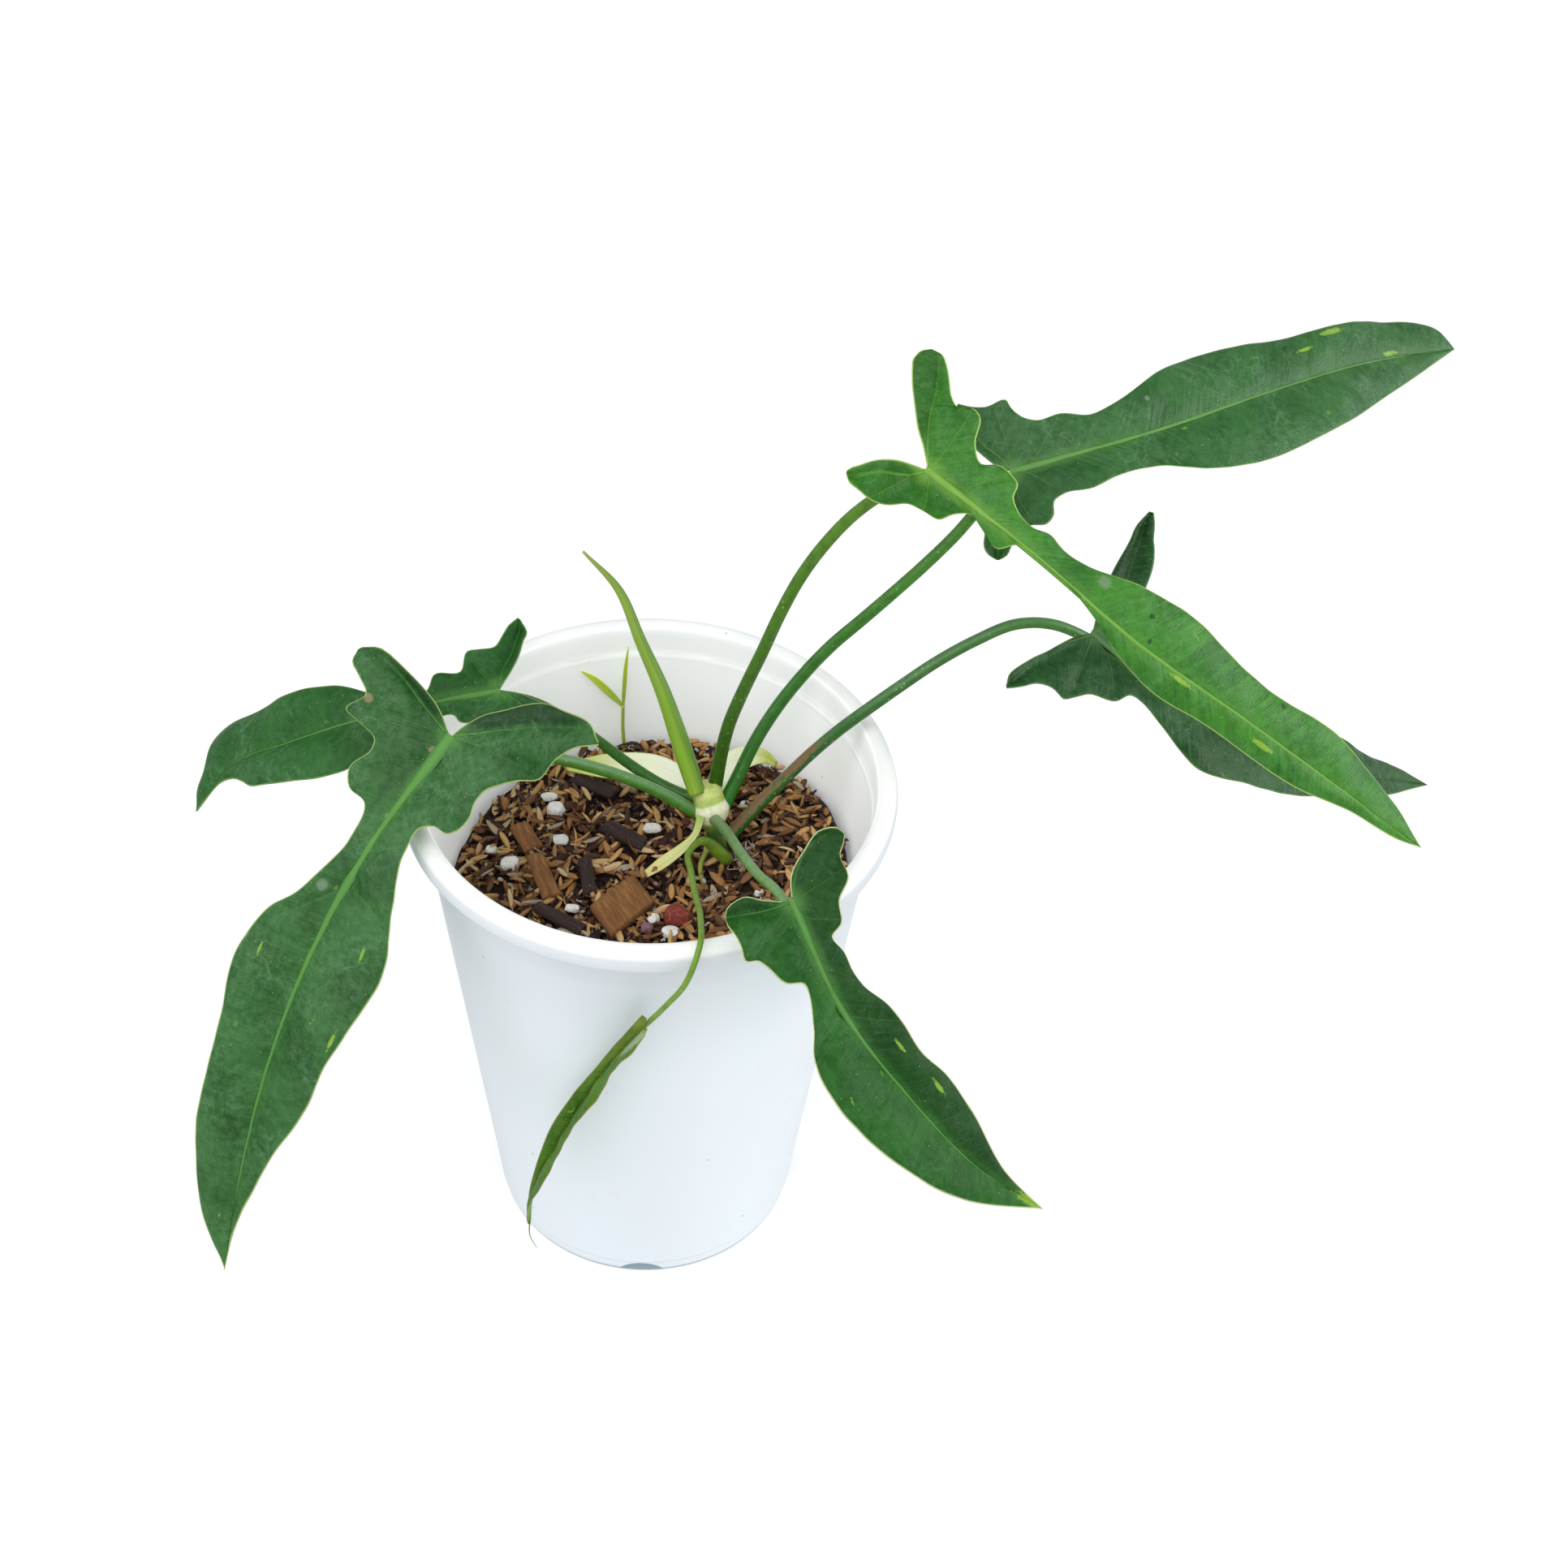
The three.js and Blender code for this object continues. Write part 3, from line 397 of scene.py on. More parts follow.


# Leaves. Lengths are in millimetres.
# petiole: its path. midrib: knots from the petiole to the tip. radii: the petiole's, at each end.
# faces: which way the upper face looks at the base and at the tip.
# wave: height, count and phase of the waves along the blade.
# stalk: the petiole's colours at each end, the stretch with corky skin, and the strength of its bloom and painted
# sheen.
# Points on the flat leaf are s, w. s runs along the midrib from the petiole to the tip, and is negative behind
# the petiole. w is the distance out from the midrib.
# Each half has its folds in degrees (lobe, base, tip), rows of its basal lobe (inner s, w, margin s, w), rows of
# its blade (s at the midrib, margin s, w), and main veins, with the rib of the basal lobe first.
# marks: kind, s, w (negative on the left half) and reach. thread: a dry thread that carries on from the tip.

LEAVES = dict(
    # Brightest and highest leaf, reaching to the front right. Its lower half hangs away.
    leaf_upper_right_front=dict(
        petiole=[[25, 26.5, 208], [30, 27, 244], [42, 32, 279], [56, 39, 314], [76, 42, 345], [102, 36, 372]],
        midrib=[[102, 36, 372], [144, 9, 355], [185, -10, 330], [228, -16, 301], [269, -17, 269], [309, -14, 235]],
        radii=(2.8, 2.3), faces=[[0.1, -0.35, 0.93], [0.35, -0.45, 0.8]], wave=(2, 3, 0),
        stalk=dict(base=(50, 96, 8), top=(82, 128, 16)),
        left=dict(
            folds=(12, 12, 5),
            lobe=[[-31.5, 41, -30.5, 41.6], [-33.6, 37.6, -26.5, 42.7], [-33.8, 33.5, -22.5, 40.3],
                [-32, 30, -17, 35], [-27, 24, -12, 30], [-24, 21, -8, 28], [-20, 17, -2, 31], [-16, 13, 1, 30],
                [-7, 6, 7, 20], [0, 0, 14, 15]],
            blade=[[4, 19, 18], [11, 27, 18], [14, 30, 17], [18, 32, 12], [24, 37, 9], [31, 44, 8], [39, 52, 11],
                [45, 58, 10], [81, 94, 19], [103, 116, 22], [141, 152, 18], [202, 210, 16], [225, 231, 13],
                [251, 253, 4], [261, 261, 0]],
            veins=[[[0, 0], [-8, 10], [-14, 19], [-19, 29], [-24, 38]], [[1, 1], [0, 11], [-1, 18], [-2, 26]],
                [[14, 1], [18, 7], [22, 13]]]),
        right=dict(
            folds=(-15, -52, -30),
            lobe=[[-24, 18.6, -23.4, 19.8], [-23.4, 16.6, -20.6, 21.6], [-22, 14.6, -16, 22], [-17, 8, -5, 20],
                [-12, 4, 1, 16], [-7, 2, 7, 15], [0, 0, 14, 14]],
            blade=[[3, 18, 8], [10, 24, 3], [25, 40, 7], [32, 44, 2], [73, 86, 3], [85, 96, 7], [106, 117, 12],
                [133, 143, 10], [189, 195, 10], [216, 220, 5], [252, 253, 2], [261, 261, 0]],
            veins=[[[0, 0], [-5, 6], [-13, 10], [-18, 15]], [[0, 0], [-4, 5], [-7, 12]], [[2, 0], [4, 5], [6, 11]]]),
        deep=(22, 90, 8), light=(62, 132, 32), rib=(116, 166, 56), edge=(176, 204, 104), rib_width=(2, 0.5),
        flecks=0.9, film_and_sheen=0.4, veins=0.5, fold=0.3, fine=0.25, slot="bright_leaf",
        marks=[("grey", 79, -10, 3), ("cork", 71, 3, 2.2), ("drop", 102, -11, 1.3), ("drop", 107, -3, 1),
            ("drop", 171, -14, 1.4), ("streak", 126, 1.5, 1.5), ("streak", 170, 4, 1.6), ("streak", 44, -9, 1)]),
    # Long leaf that points away to the back right
    leaf_upper_right_back=dict(
        petiole=[[28, 20.5, 200], [44, 40, 232], [65, 53, 260], [90, 59, 287], [115, 69, 312], [138, 84, 337]],
        midrib=[[138, 84, 337], [194, 103, 346], [243, 138, 343], [289, 177, 333], [335, 213, 318]],
        radii=(2.8, 2.3), faces=[[0, -0.4, 0.9], [0.2, -0.5, 0.85]], wave=(2, 2, 1),
        stalk=dict(base=(36, 106, 10), top=(66, 126, 26)),
        left=dict(
            folds=(10, 10, 5),
            lobe=[[-12, 34, -11, 35], [-14, 26, -6, 32], [-13, 20, -1, 30], [-9, 10, 7, 30], [-5, 4, 8, 26],
                [0, 0, 11, 21]],
            blade=[[4, 16, 18], [13, 26, 18], [24, 38, 14], [32, 46, 15], [65, 79, 24], [77, 92, 25], [108, 122, 23],
                [129, 143, 20], [192, 203, 17], [215, 224, 14], [232, 238, 8], [242, 242, 0]],
            veins=[[[0, 0], [-3, 9], [-7, 16], [-9, 27]], [[0, 0], [2, 12], [2, 24]], [[5, 0], [13, 5], [21, 13]]]),
        right=dict(
            folds=(0, 0, -5),
            lobe=[[-18.6, 35.3, -17.4, 35.7], [-20.8, 32.5, -14.2, 35.2], [-21.6, 28.5, -11, 31.8], [-19, 22, -6, 28],
                [-18, 18, -2, 26], [-12, 11, 6, 27], [-8, 8, 9, 25], [0, 0, 13, 17]],
            blade=[[2, 16, 16], [13, 29, 17], [24, 40, 14], [39, 56, 14], [68, 83, 24], [83, 98, 27], [119, 132, 26],
                [192, 199, 13], [242, 242, 0]],
            veins=[[[0, 0], [-6, 12], [-13, 24], [-17, 33]], [[0, 0], [-1, 12], [0, 22]],
                [[4, 0], [10, 7], [16, 14]]]),
        deep=(18, 76, 18), light=(52, 108, 48), rib=(98, 150, 68), edge=(120, 152, 84), rib_width=(1.9, 0.5),
        flecks=0.8, film_and_sheen=0.7, veins=0.5, fold=0.3,
        marks=[("streak", 168, -16, 1.9), ("streak", 199, -2, 1.5), ("streak", 150, -12, 1.2),
            ("grey", 62, -13, 1.2)]),
    # Leaf on the right, half hidden under the bright one
    leaf_right=dict(
        petiole=[[30, 17, 188], [50, 26, 211], [70, 32, 234], [92, 35, 256], [118, 46, 272], [147, 54, 284],
            [176, 60, 275]],
        midrib=[[176, 60, 275], [221, 45, 245], [265, 61, 213], [305, 86, 181], [343, 115, 150]],
        radii=(2.7, 2.2), faces=[[0.2, -0.3, 0.9], [0.5, -0.4, 0.75]], wave=(2, 2, 0),
        stalk=dict(base=(40, 96, 26), top=(60, 114, 40), cork=(2, 64), bloom_and_sheen=0.15),
        left=dict(
            folds=(15, 8, 5),
            lobe=[[-9, 61, -7, 62], [-10, 54, -4, 59], [-9, 45, 0, 52], [-8, 33, 4, 43], [-5, 15, 8, 27],
                [-3, 9, 10, 22], [0, 0, 14, 15]],
            blade=[[8, 24, 12], [50, 66, 23], [89, 103, 23], [123, 135, 17], [149, 158, 13], [199, 203, 6],
                [227, 227, 0]],
            veins=[[[0, 0], [4, 9], [2, 20], [-2, 40], [-6, 54]], [[3, 0], [9, 6], [14, 11]]]),
        right=dict(
            folds=(8, 8, 8),
            lobe=[[-20, 49, -19, 50], [-21, 42, -14, 45], [-17, 31, -10, 40], [-13, 23, -4, 37], [-9, 14, 3, 38],
                [-5, 6, 8, 33], [0, 0, 12, 28]],
            blade=[[10, 23, 22], [18, 27, 14], [29, 38, 13], [39, 49, 17], [48, 57, 22], [72, 81, 21], [115, 123, 18],
                [141, 148, 15], [227, 227, 0]],
            veins=[[[0, 0], [-6, 10], [-13, 22], [-17, 39]], [[0, 0], [2, 11], [3, 20], [5, 30]],
                [[6, 0], [13, 7], [19, 16]]]),
        deep=(15, 60, 17), light=(49, 98, 47), rib=(84, 122, 68), edge=(100, 134, 74), rib_width=(1.6, 0.4),
        flecks=0.3, film_and_sheen=0.8, veins=0.6, fold=0.4, gloss=1.32,
        marks=[("grey", 80, -14, 1.4)]),
    # Leaf that hangs over the front right of the rim
    leaf_front_right=dict(
        petiole=[[26, 14, 203], [31.5, -5, 215], [38, -31, 229.5], [46.5, -58, 243.5], [59, -84, 257]],
        midrib=[[59, -84, 257], [80, -112, 229], [107, -125, 197], [135, -130, 164], [165, -124, 132]],
        radii=(2.2, 1.9), faces=[[0.3, -0.5, 0.8], [0.5, -0.6, 0.6]], wave=(2, 3, 1),
        stalk=dict(base=(92, 136, 66), top=(104, 150, 72), bloom_and_sheen=0.25),
        left=dict(
            folds=(10, 10, 10),
            lobe=[[-15.6, 30, -14.6, 30.2], [-18.8, 28, -11.8, 28.6], [-20.4, 22.5, -9, 26], [-16, 13, 0, 25],
                [-9, 4, 7, 17], [0, 0, 15, 14]],
            blade=[[5, 18, 9], [12, 25, 10.7], [19, 34, 11], [25, 40, 12], [42, 56, 17], [51, 65, 17], [68, 80, 15],
                [85, 96, 17], [102, 112, 16], [145, 149, 5], [177, 177, 0]],
            veins=[[[0, 0], [-6, 4], [-12, 9], [-17, 17], [-18, 26]], [[1, 0], [-1, 9], [-2, 17], [-3, 23]],
                [[6, 0], [10, 7], [13, 14]], [[47, 0], [55, 8], [62, 15]]]),
        right=dict(
            folds=(14, 10, 10),
            lobe=[[-4.8, 30, -3.8, 30.4], [-8, 27.6, -1.5, 30.7], [-9.4, 22, 1, 30.4], [-5, 11, 9, 30],
                [0, 0, 14, 30]],
            blade=[[4, 16, 24], [8, 19, 21], [16, 27, 16], [23, 30, 9], [31, 38, 11], [37, 44, 15], [48, 52, 23],
                [65, 70, 27], [77, 82, 26], [119, 123, 18], [131, 135, 14], [177, 177, 0]],
            veins=[[[0, 0], [-1, 10], [-3, 20], [-5, 28]], [[2, 0], [8, 7], [13, 15]],
                [[45, 0], [48, 12], [51, 21]]]),
        deep=(14, 70, 12), light=(50, 107, 40), rib=(88, 140, 66), edge=(200, 208, 150), rib_width=(2.1, 0.5),
        flecks=0.5, film_and_sheen=0.25, veins=0.35, fold=0.5, left_half_shade=0.6, gloss=1.26,
        marks=[("streak", 170, 0, 3.4), ("cork", 176, 0, 2.4), ("streak", 71, -10, 1.1), ("streak", 95, -11, 1.3)]),
    # Largest leaf, hanging over the front left of the rim
    leaf_front_left=dict(
        petiole=[[21, 18.5, 200], [0, 17, 216], [-21, 13, 229], [-41, 5, 242], [-61, -5, 255], [-77, -17, 270]],
        midrib=[[-77, -17, 270], [-105, -47, 240], [-128, -73, 202], [-145, -93, 158], [-157, -109, 111],
            [-166, -122, 62]],
        radii=(2.6, 2.3), faces=[[-0.3, -0.6, 0.75], [-0.4, -0.8, 0.4]], wave=(2, 3, 2),
        stalk=dict(base=(72, 130, 34), top=(92, 144, 54), bloom_and_sheen=0.35),
        left=dict(
            folds=(10, 10, 10),
            lobe=[[-33, 58, -32, 59], [-37, 48, -25, 50], [-35, 37, -18, 46], [-32, 25, -8, 44], [-21, 12, -2, 35],
                [-12, 4, 4, 29], [-5, 1, 8, 26], [0, 0, 14, 26]],
            blade=[[6, 21, 29], [11, 27, 29], [14, 30, 27], [19, 31, 20], [26, 35, 15], [36, 46, 15], [57, 66, 24],
                [74, 82, 31], [112, 120, 31], [150, 157, 24], [195, 200, 11], [240, 241, 1], [256, 256, 0]],
            veins=[[[0, 0], [-10, 10], [-22, 27], [-34, 47]], [[0, 0], [-4, 12], [-6, 22], [-8, 34]],
                [[9, 0], [14, 10], [19, 20]], [[69, 0], [72, 16], [75, 30]]]),
        right=dict(
            folds=(10, 10, 10),
            lobe=[[-8, 48, -6, 49], [-12, 42, -1, 48], [-11, 29, 2, 43], [-8, 14, 6, 37], [0, 0, 16, 41]],
            blade=[[5, 17, 33], [13, 19, 24], [16, 22, 23], [25, 33, 26], [32, 39, 21], [40, 40, 13], [54, 55, 9],
                [69, 71, 12], [80, 83, 16], [92, 93, 23], [105, 107, 28], [115, 117, 30], [140, 143, 25],
                [168, 172, 23], [195, 199, 23], [207, 212, 21], [256, 256, 0]],
            veins=[[[0, 0], [-4, 17], [-8, 30], [-11, 42]], [[0, 0], [4, 15], [7, 23], [12, 33]],
                [[12, 0], [19, 11], [26, 20]], [[71, 0], [82, 8], [93, 17], [104, 27]]]),
        deep=(16, 69, 16), light=(64, 116, 59), rib=(88, 146, 60), edge=(166, 188, 108), rib_width=(3, 0.7),
        flecks=0.6, film_and_sheen=0.6, veins=0.45, fold=0.75, gloss=1.34,
        marks=[("cork", 7, 35, 2.2), ("cork", 8, 3, 1.6), ("grey", 75, 8, 2.6), ("grey", 39, 1, 1.4),
            ("streak", 125, -27, 1.2), ("streak", 89, -22, 1), ("streak", 110, 20, 0.9)]),
    # Smaller leaf at the back left, partly behind the largest one
    leaf_back_left=dict(
        petiole=[[19.5, 23.5, 203.5], [0, 29, 209], [-17, 33, 220], [-32, 34, 233], [-48, 32, 246], [-63, 25, 258]],
        midrib=[[-63, 25, 258], [-93, 20, 253], [-123, 19, 242], [-150, 22, 226], [-175, 28, 207], [-192, 24, 182]],
        radii=(2.4, 2), faces=[[-0.2, -0.4, 0.9], [-0.5, -0.3, 0.8]], wave=(2, 2, 0),
        stalk=dict(base=(52, 110, 28), top=(62, 114, 36)),
        left=dict(
            folds=(8, 8, 8),
            lobe=[[-23, 23, -22, 24], [-24, 17, -14, 22], [-19, 11, -6, 20], [-13, 6, 2, 16], [-7, 2, 10, 14],
                [0, 0, 17, 12]],
            blade=[[4, 19, 8], [15, 32, 9], [42, 56, 20], [86, 98, 20], [95, 106, 19], [108, 117, 13], [136, 139, 2],
                [157, 157, 0]],
            veins=[[[0, 0], [-7, 6], [-15, 14], [-21, 21]], [[5, 0], [6, 3], [9, 8]]]),
        right=dict(
            folds=(8, 8, 8),
            lobe=[[-13, 30, -12, 31], [-15, 24, -8, 28], [-13, 20, -5, 24], [-10, 13, -1, 19], [-5, 6, 5, 19],
                [0, 0, 10, 19]],
            blade=[[7, 14, 11], [16, 25, 11], [21, 28, 6], [38, 46, 8], [62, 70, 19], [70, 78, 20], [101, 110, 18],
                [126, 135, 17], [137, 143, 10], [151, 154, 5], [157, 157, 0]],
            veins=[[[0, 0], [-3, 9], [-8, 17], [-12, 26]], [[1, 0], [4, 6], [7, 11], [8, 18]]]),
        deep=(14, 70, 14), light=(48, 106, 44), rib=(88, 140, 64), edge=(120, 152, 80), rib_width=(2, 0.4),
        flecks=0.3, film_and_sheen=0.7, veins=0.3, fold=0.4, gloss=1.3,
        marks=[("grey", 40, 8, 1.2)]),
    # Thin-stalked leaf, folded along its midrib, that hangs over the front of the rim
    leaf_hanging=dict(
        petiole=[[32, 8, 186], [26, 5, 195], [20, 1, 204.5], [16.5, -7, 206], [18, -25, 214], [20, -41, 220],
            [22, -56, 227], [24, -70, 235], [25, -85, 242], [25, -102, 244], [20, -104, 229], [13, -101, 214],
            [5, -98, 198]],
        midrib=[[5, -98, 198], [-8, -91, 169], [-20, -87, 139], [-31, -86, 110], [-41, -89, 82], [-43, -90, 62]],
        radii=(1.4, 1.1), faces=[[-0.75, -0.55, 0.2], [-0.8, -0.5, 0.1]], wave=(0.8, 3, 0),
        stalk=dict(base=(116, 150, 40), top=(112, 148, 44)),
        left=dict(
            folds=(40, 42, 40),
            lobe=[[-4, 3, -2, 5], [0, 0, 4, 8]],
            blade=[[16, 20, 9], [50, 54, 11], [90, 94, 11.6], [108, 111, 11.2], [125, 128, 9.2], [138, 140, 5],
                [147, 147, 0]],
            veins=[]),
        right=dict(
            folds=(40, 42, 40),
            lobe=[[-6, 2, -6, 4.2], [0, 0, -1, 4.3]],
            blade=[[12, 16, 3.9], [38, 42, 4.1], [62, 66, 5.4], [88, 92, 6.1], [104, 107, 4.4], [118, 121, 2.8],
                [147, 147, 0]],
            veins=[]),
        deep=(40, 88, 2), light=(76, 122, 8), rib=(146, 160, 70), edge=(130, 120, 50), rib_width=(0.6, 0.5),
        flecks=0.8, film_and_sheen=0.2, veins=0.2, fold=0, gloss=1.3, swollen=1.4, slot="olive_leaf",
        thread=[[-43, -90, 64], [-43.4, -90, 58], [-43, -90, 53], [-40.5, -90, 46]],
        marks=[("streak", 72, 2, 0.7), ("cork", 143, 0, 2.5), ("turned", 8, -4, 3.4)]),
)

for leaf in LEAVES.values():
    leaf["path"] = Path(leaf["midrib"])


# Leaf blades

SIDES = {1: "right", -1: "left"}
THICKNESS = 0.5
ROW_STEP = 2.0
COLUMNS = 18
LOBE_TURN = 15
WAVE_WIDTH = 20
ARCH_HEIGHT = 1.8
SWELL_HEIGHT = 0.6
BUMP_HEIGHT = 0.28
VALLEY_DEPTHS = (3.8, 2.6, 1.6, 1.0)
VALLEY_SPREAD = 3.8
FAR_FROM_VEINS = 90.0
SIDE_VEIN_PITCH = 19.0
MIDRIB_ROWS = 90
MIDRIB_COLUMNS = 9
STALK_KNOT_STEP = 18
STALK_STEP = 2.5
STALK_SIDES = 18


def on_leaf(leaf, side, s, w, rise=0.0):
    """Points at s, w on one half, lifted off the blade by the rise. side is 1 for the right half, -1 for the left."""
    path = leaf["path"]
    s, w = np.broadcast_arrays(np.asarray(s, float), np.asarray(w, float))
    u = np.clip(s / path.length, 0, 1)
    along = path.along(u * path.length)
    middle = path.at(u * path.length) + along * np.minimum(s, 0)[..., None]
    first, last = unit(leaf["faces"])
    across = unit(np.cross(along, blend(first, last, u[..., None])))
    up = np.cross(across, along)
    lobe_fold, base_fold, tip_fold = leaf[SIDES[side]]["folds"]
    fold = np.radians(blend(blend(base_fold, tip_fold, u), lobe_fold, np.clip(-s / LOBE_TURN, 0, 1)))
    height, count, phase = leaf["wave"]
    wave = height * w / WAVE_WIDTH * np.sin(count * FULL_TURN * s / path.length + phase * side)
    outward = side * (w * np.cos(fold) - rise * np.sin(fold))
    upward = w * np.sin(fold) + wave + rise * np.cos(fold)
    return middle + across * outward[..., None] + up * upward[..., None]


def line_offset(knots, s, w):
    """Signed distance from a vein's line, drawn through knots on the flat leaf."""
    line = Path(knots)
    marks = line.at(np.linspace(0, line.length, 50))
    heading = unit(np.gradient(marks, axis=0))
    place = np.stack([s.ravel(), w.ravel()], axis=-1)
    nearest = np.argmin(((place[:, None] - marks[None]) ** 2).sum(-1), axis=1)
    apart = place - marks[nearest]
    ahead = heading[nearest]
    return (apart[:, 1] * ahead[:, 0] - apart[:, 0] * ahead[:, 1]).reshape(s.shape)


def leaf_rows(half):
    """Fine rows across one half, from the inside edge to the margin: s, w, s, w. Also their reach along the margin."""
    lobe = np.array(half["lobe"], float)
    rest = np.array([[rib, 0, s, w] for rib, s, w in half["blade"]], float)
    rows = np.vstack([lobe, rest])
    keys = np.r_[0, np.cumsum(np.linalg.norm(np.diff(rows[:, 2:], axis=0), axis=1))]
    wanted = []
    for start, end in zip(keys, keys[1:]):
        wanted.extend(np.arange(start, end, (end - start) / math.ceil((end - start) / ROW_STEP)))
    wanted = np.unique(np.round(np.r_[wanted, keys[-1]], 4))
    outer = smooth_through(keys, rows[:, 2:], wanted)
    inner = np.stack([np.interp(wanted, keys, rows[:, k]) for k in (0, 1)], axis=-1)
    if len(lobe) > 2:
        inside = wanted <= keys[len(lobe) - 1]
        inner[inside] = smooth_through(keys[:len(lobe)], lobe[:, :2], wanted[inside])
    fine = np.hstack([inner, outer])
    fine[:, [1, 3]] = np.maximum(fine[:, [1, 3]], 0)
    return fine, wanted


def half_blade(shape, leaf, side):
    half = leaf[SIDES[side]]
    rows, reach = leaf_rows(half)
    share = np.linspace(0, 1, COLUMNS + 1)
    s = blend(rows[:, 0:1], rows[:, 2:3], share)
    w = blend(rows[:, 1:2], rows[:, 3:4], share)
    width = np.linalg.norm(rows[:, 2:] - rows[:, :2], axis=1)[:, None]
    lines = [line_offset(line, s, w) for line in half["veins"]]
    lines += [np.full(s.shape, FAR_FROM_VEINS)] * (len(VALLEY_DEPTHS) - len(lines))
    margin = np.where(rows[:, 1:2] > 0.01, np.minimum(share, 1 - share), 1 - share) * width
    lateral = np.broadcast_to(reach[:, None], s.shape) / SIDE_VEIN_PITCH + 0.3 * side
    away = np.hypot(s, w)
    # Relief: an arch across each half, a valley along each main vein, swells between the lateral veins
    hump = 4 * share * (1 - share)
    arch = ARCH_HEIGHT * hump * np.minimum(width / 25, 1)
    fade = smooth_step(away, 2, 14) * smooth_step(margin, 0, 5)
    valley = sum(np.exp(-np.abs(line) / VALLEY_SPREAD) * deep for line, deep in zip(lines, VALLEY_DEPTHS)) * fade
    swell = SWELL_HEIGHT * np.sin(lateral * math.pi) ** 2 * hump * smooth_step(s, 10, 40)
    bumps = np.sin(s / 3.1 + side) * np.sin(w / 2.6 + s / 7) + np.sin(s / 5.3) * np.sin(w / 4.1 + 1)
    ripple = share ** 3 * np.sin(reach[:, None] / 9.0 + side) * smooth_step(width, 3, 15)
    rise = arch - valley + swell + ripple + BUMP_HEIGHT * bumps * smooth_step(w, 1, 6)
    thick = THICKNESS * (0.35 + 0.65 * smooth_step(margin, 0, 2.5))
    points = [on_leaf(leaf, side, s, w, rise + lift).reshape(-1, 3) for lift in (thick / 2, -thick / 2)]
    held = dict(ribs=lines[:3], veins=(lines[3], lateral, away), place=(s, side * w, margin))
    held = {name: np.tile(np.stack(value, axis=-1).reshape(-1, 3), (2, 1)) for name, value in held.items()}
    upper, under, rim = slab_faces(len(rows), COLUMNS + 1)
    shape.add(np.vstack(points), upper + under + rim, slot=[0] * len(upper) + [1] * len(under) + [0] * len(rim), **held)


def midrib_strip(shape, leaf):
    """The pale midrib on the upper face: a low rounded ridge that thins out toward the tip."""
    length = leaf["path"].length
    stations = np.linspace(-1.0, length * 0.93, MIDRIB_ROWS)
    u = np.clip(stations / length, 0, 1)
    width = blend(*leaf["rib_width"], u ** 0.6) * smooth_step(-u, -0.93, -0.8) + 0.02
    steps = np.linspace(-1, 1, MIDRIB_COLUMNS)
    points, held = [], []
    for s, half_width in zip(stations, width):
        for step in steps:
            side = 1 if step >= 0 else -1
            rise = THICKNESS * 0.4 + 0.28 * half_width * (1 - step ** 2)
            points.append(on_leaf(leaf, side, s, abs(step) * half_width, rise))
            held.append((s, step * half_width, abs(step)))
    shape.add(points, strip_faces(MIDRIB_ROWS, MIDRIB_COLUMNS), slot=3, place=held)


def petiole_and_midrib(shape, leaf, slot):
    """The petiole, which runs on under the blade as its midrib."""
    base_radius, blade_radius = leaf["radii"]
    stalk = Path(leaf["petiole"])
    steps = round(stalk.length / STALK_KNOT_STEP)
    knots = list(stalk.at(np.arange(steps) / steps * stalk.length))
    for f in (0.015, 0.05, 0.09, 0.14, 0.25, 0.4, 0.55, 0.7, 0.86):
        depth = blade_radius * (1.1 - 0.74 * f) + 0.2 + 1.4 * bell(f, 0.08, 0.05)
        knots.append(on_leaf(leaf, 1, leaf["path"].length * f, 0, -depth))
    whole = Path(knots)
    lengths = np.linspace(0, whole.length, round(whole.length / STALK_STEP))
    share = stalk.length / whole.length
    u = lengths / whole.length
    on_stalk = blend(base_radius, blade_radius, u / share)
    on_stalk += leaf.get("swollen", 0.25) * smooth_step(-lengths, -30, -4)
    on_blade = blade_radius * (1 - 0.72 * (u - share) / (1 - share))
    points, faces, place = tube(whole, len(lengths), np.where(u < share, on_stalk, on_blade), STALK_SIDES)
    shape.add(points, faces, slot=slot, place=place / (1, share, 1))


# Finishes of the living parts

# Colour and strength of the marks on a leaf's upper face
MARKS = dict(grey=((118, 140, 110), 0.7), cork=((142, 128, 98), 0.8), drop=((16, 44, 12), 0.8),
             streak=((150, 190, 60), 0.65), turned=((146, 166, 126), 0.9))


def side_vein_distance(lateral):
    return abs((lateral + 0.5).fraction() - 0.5) * SIDE_VEIN_PITCH


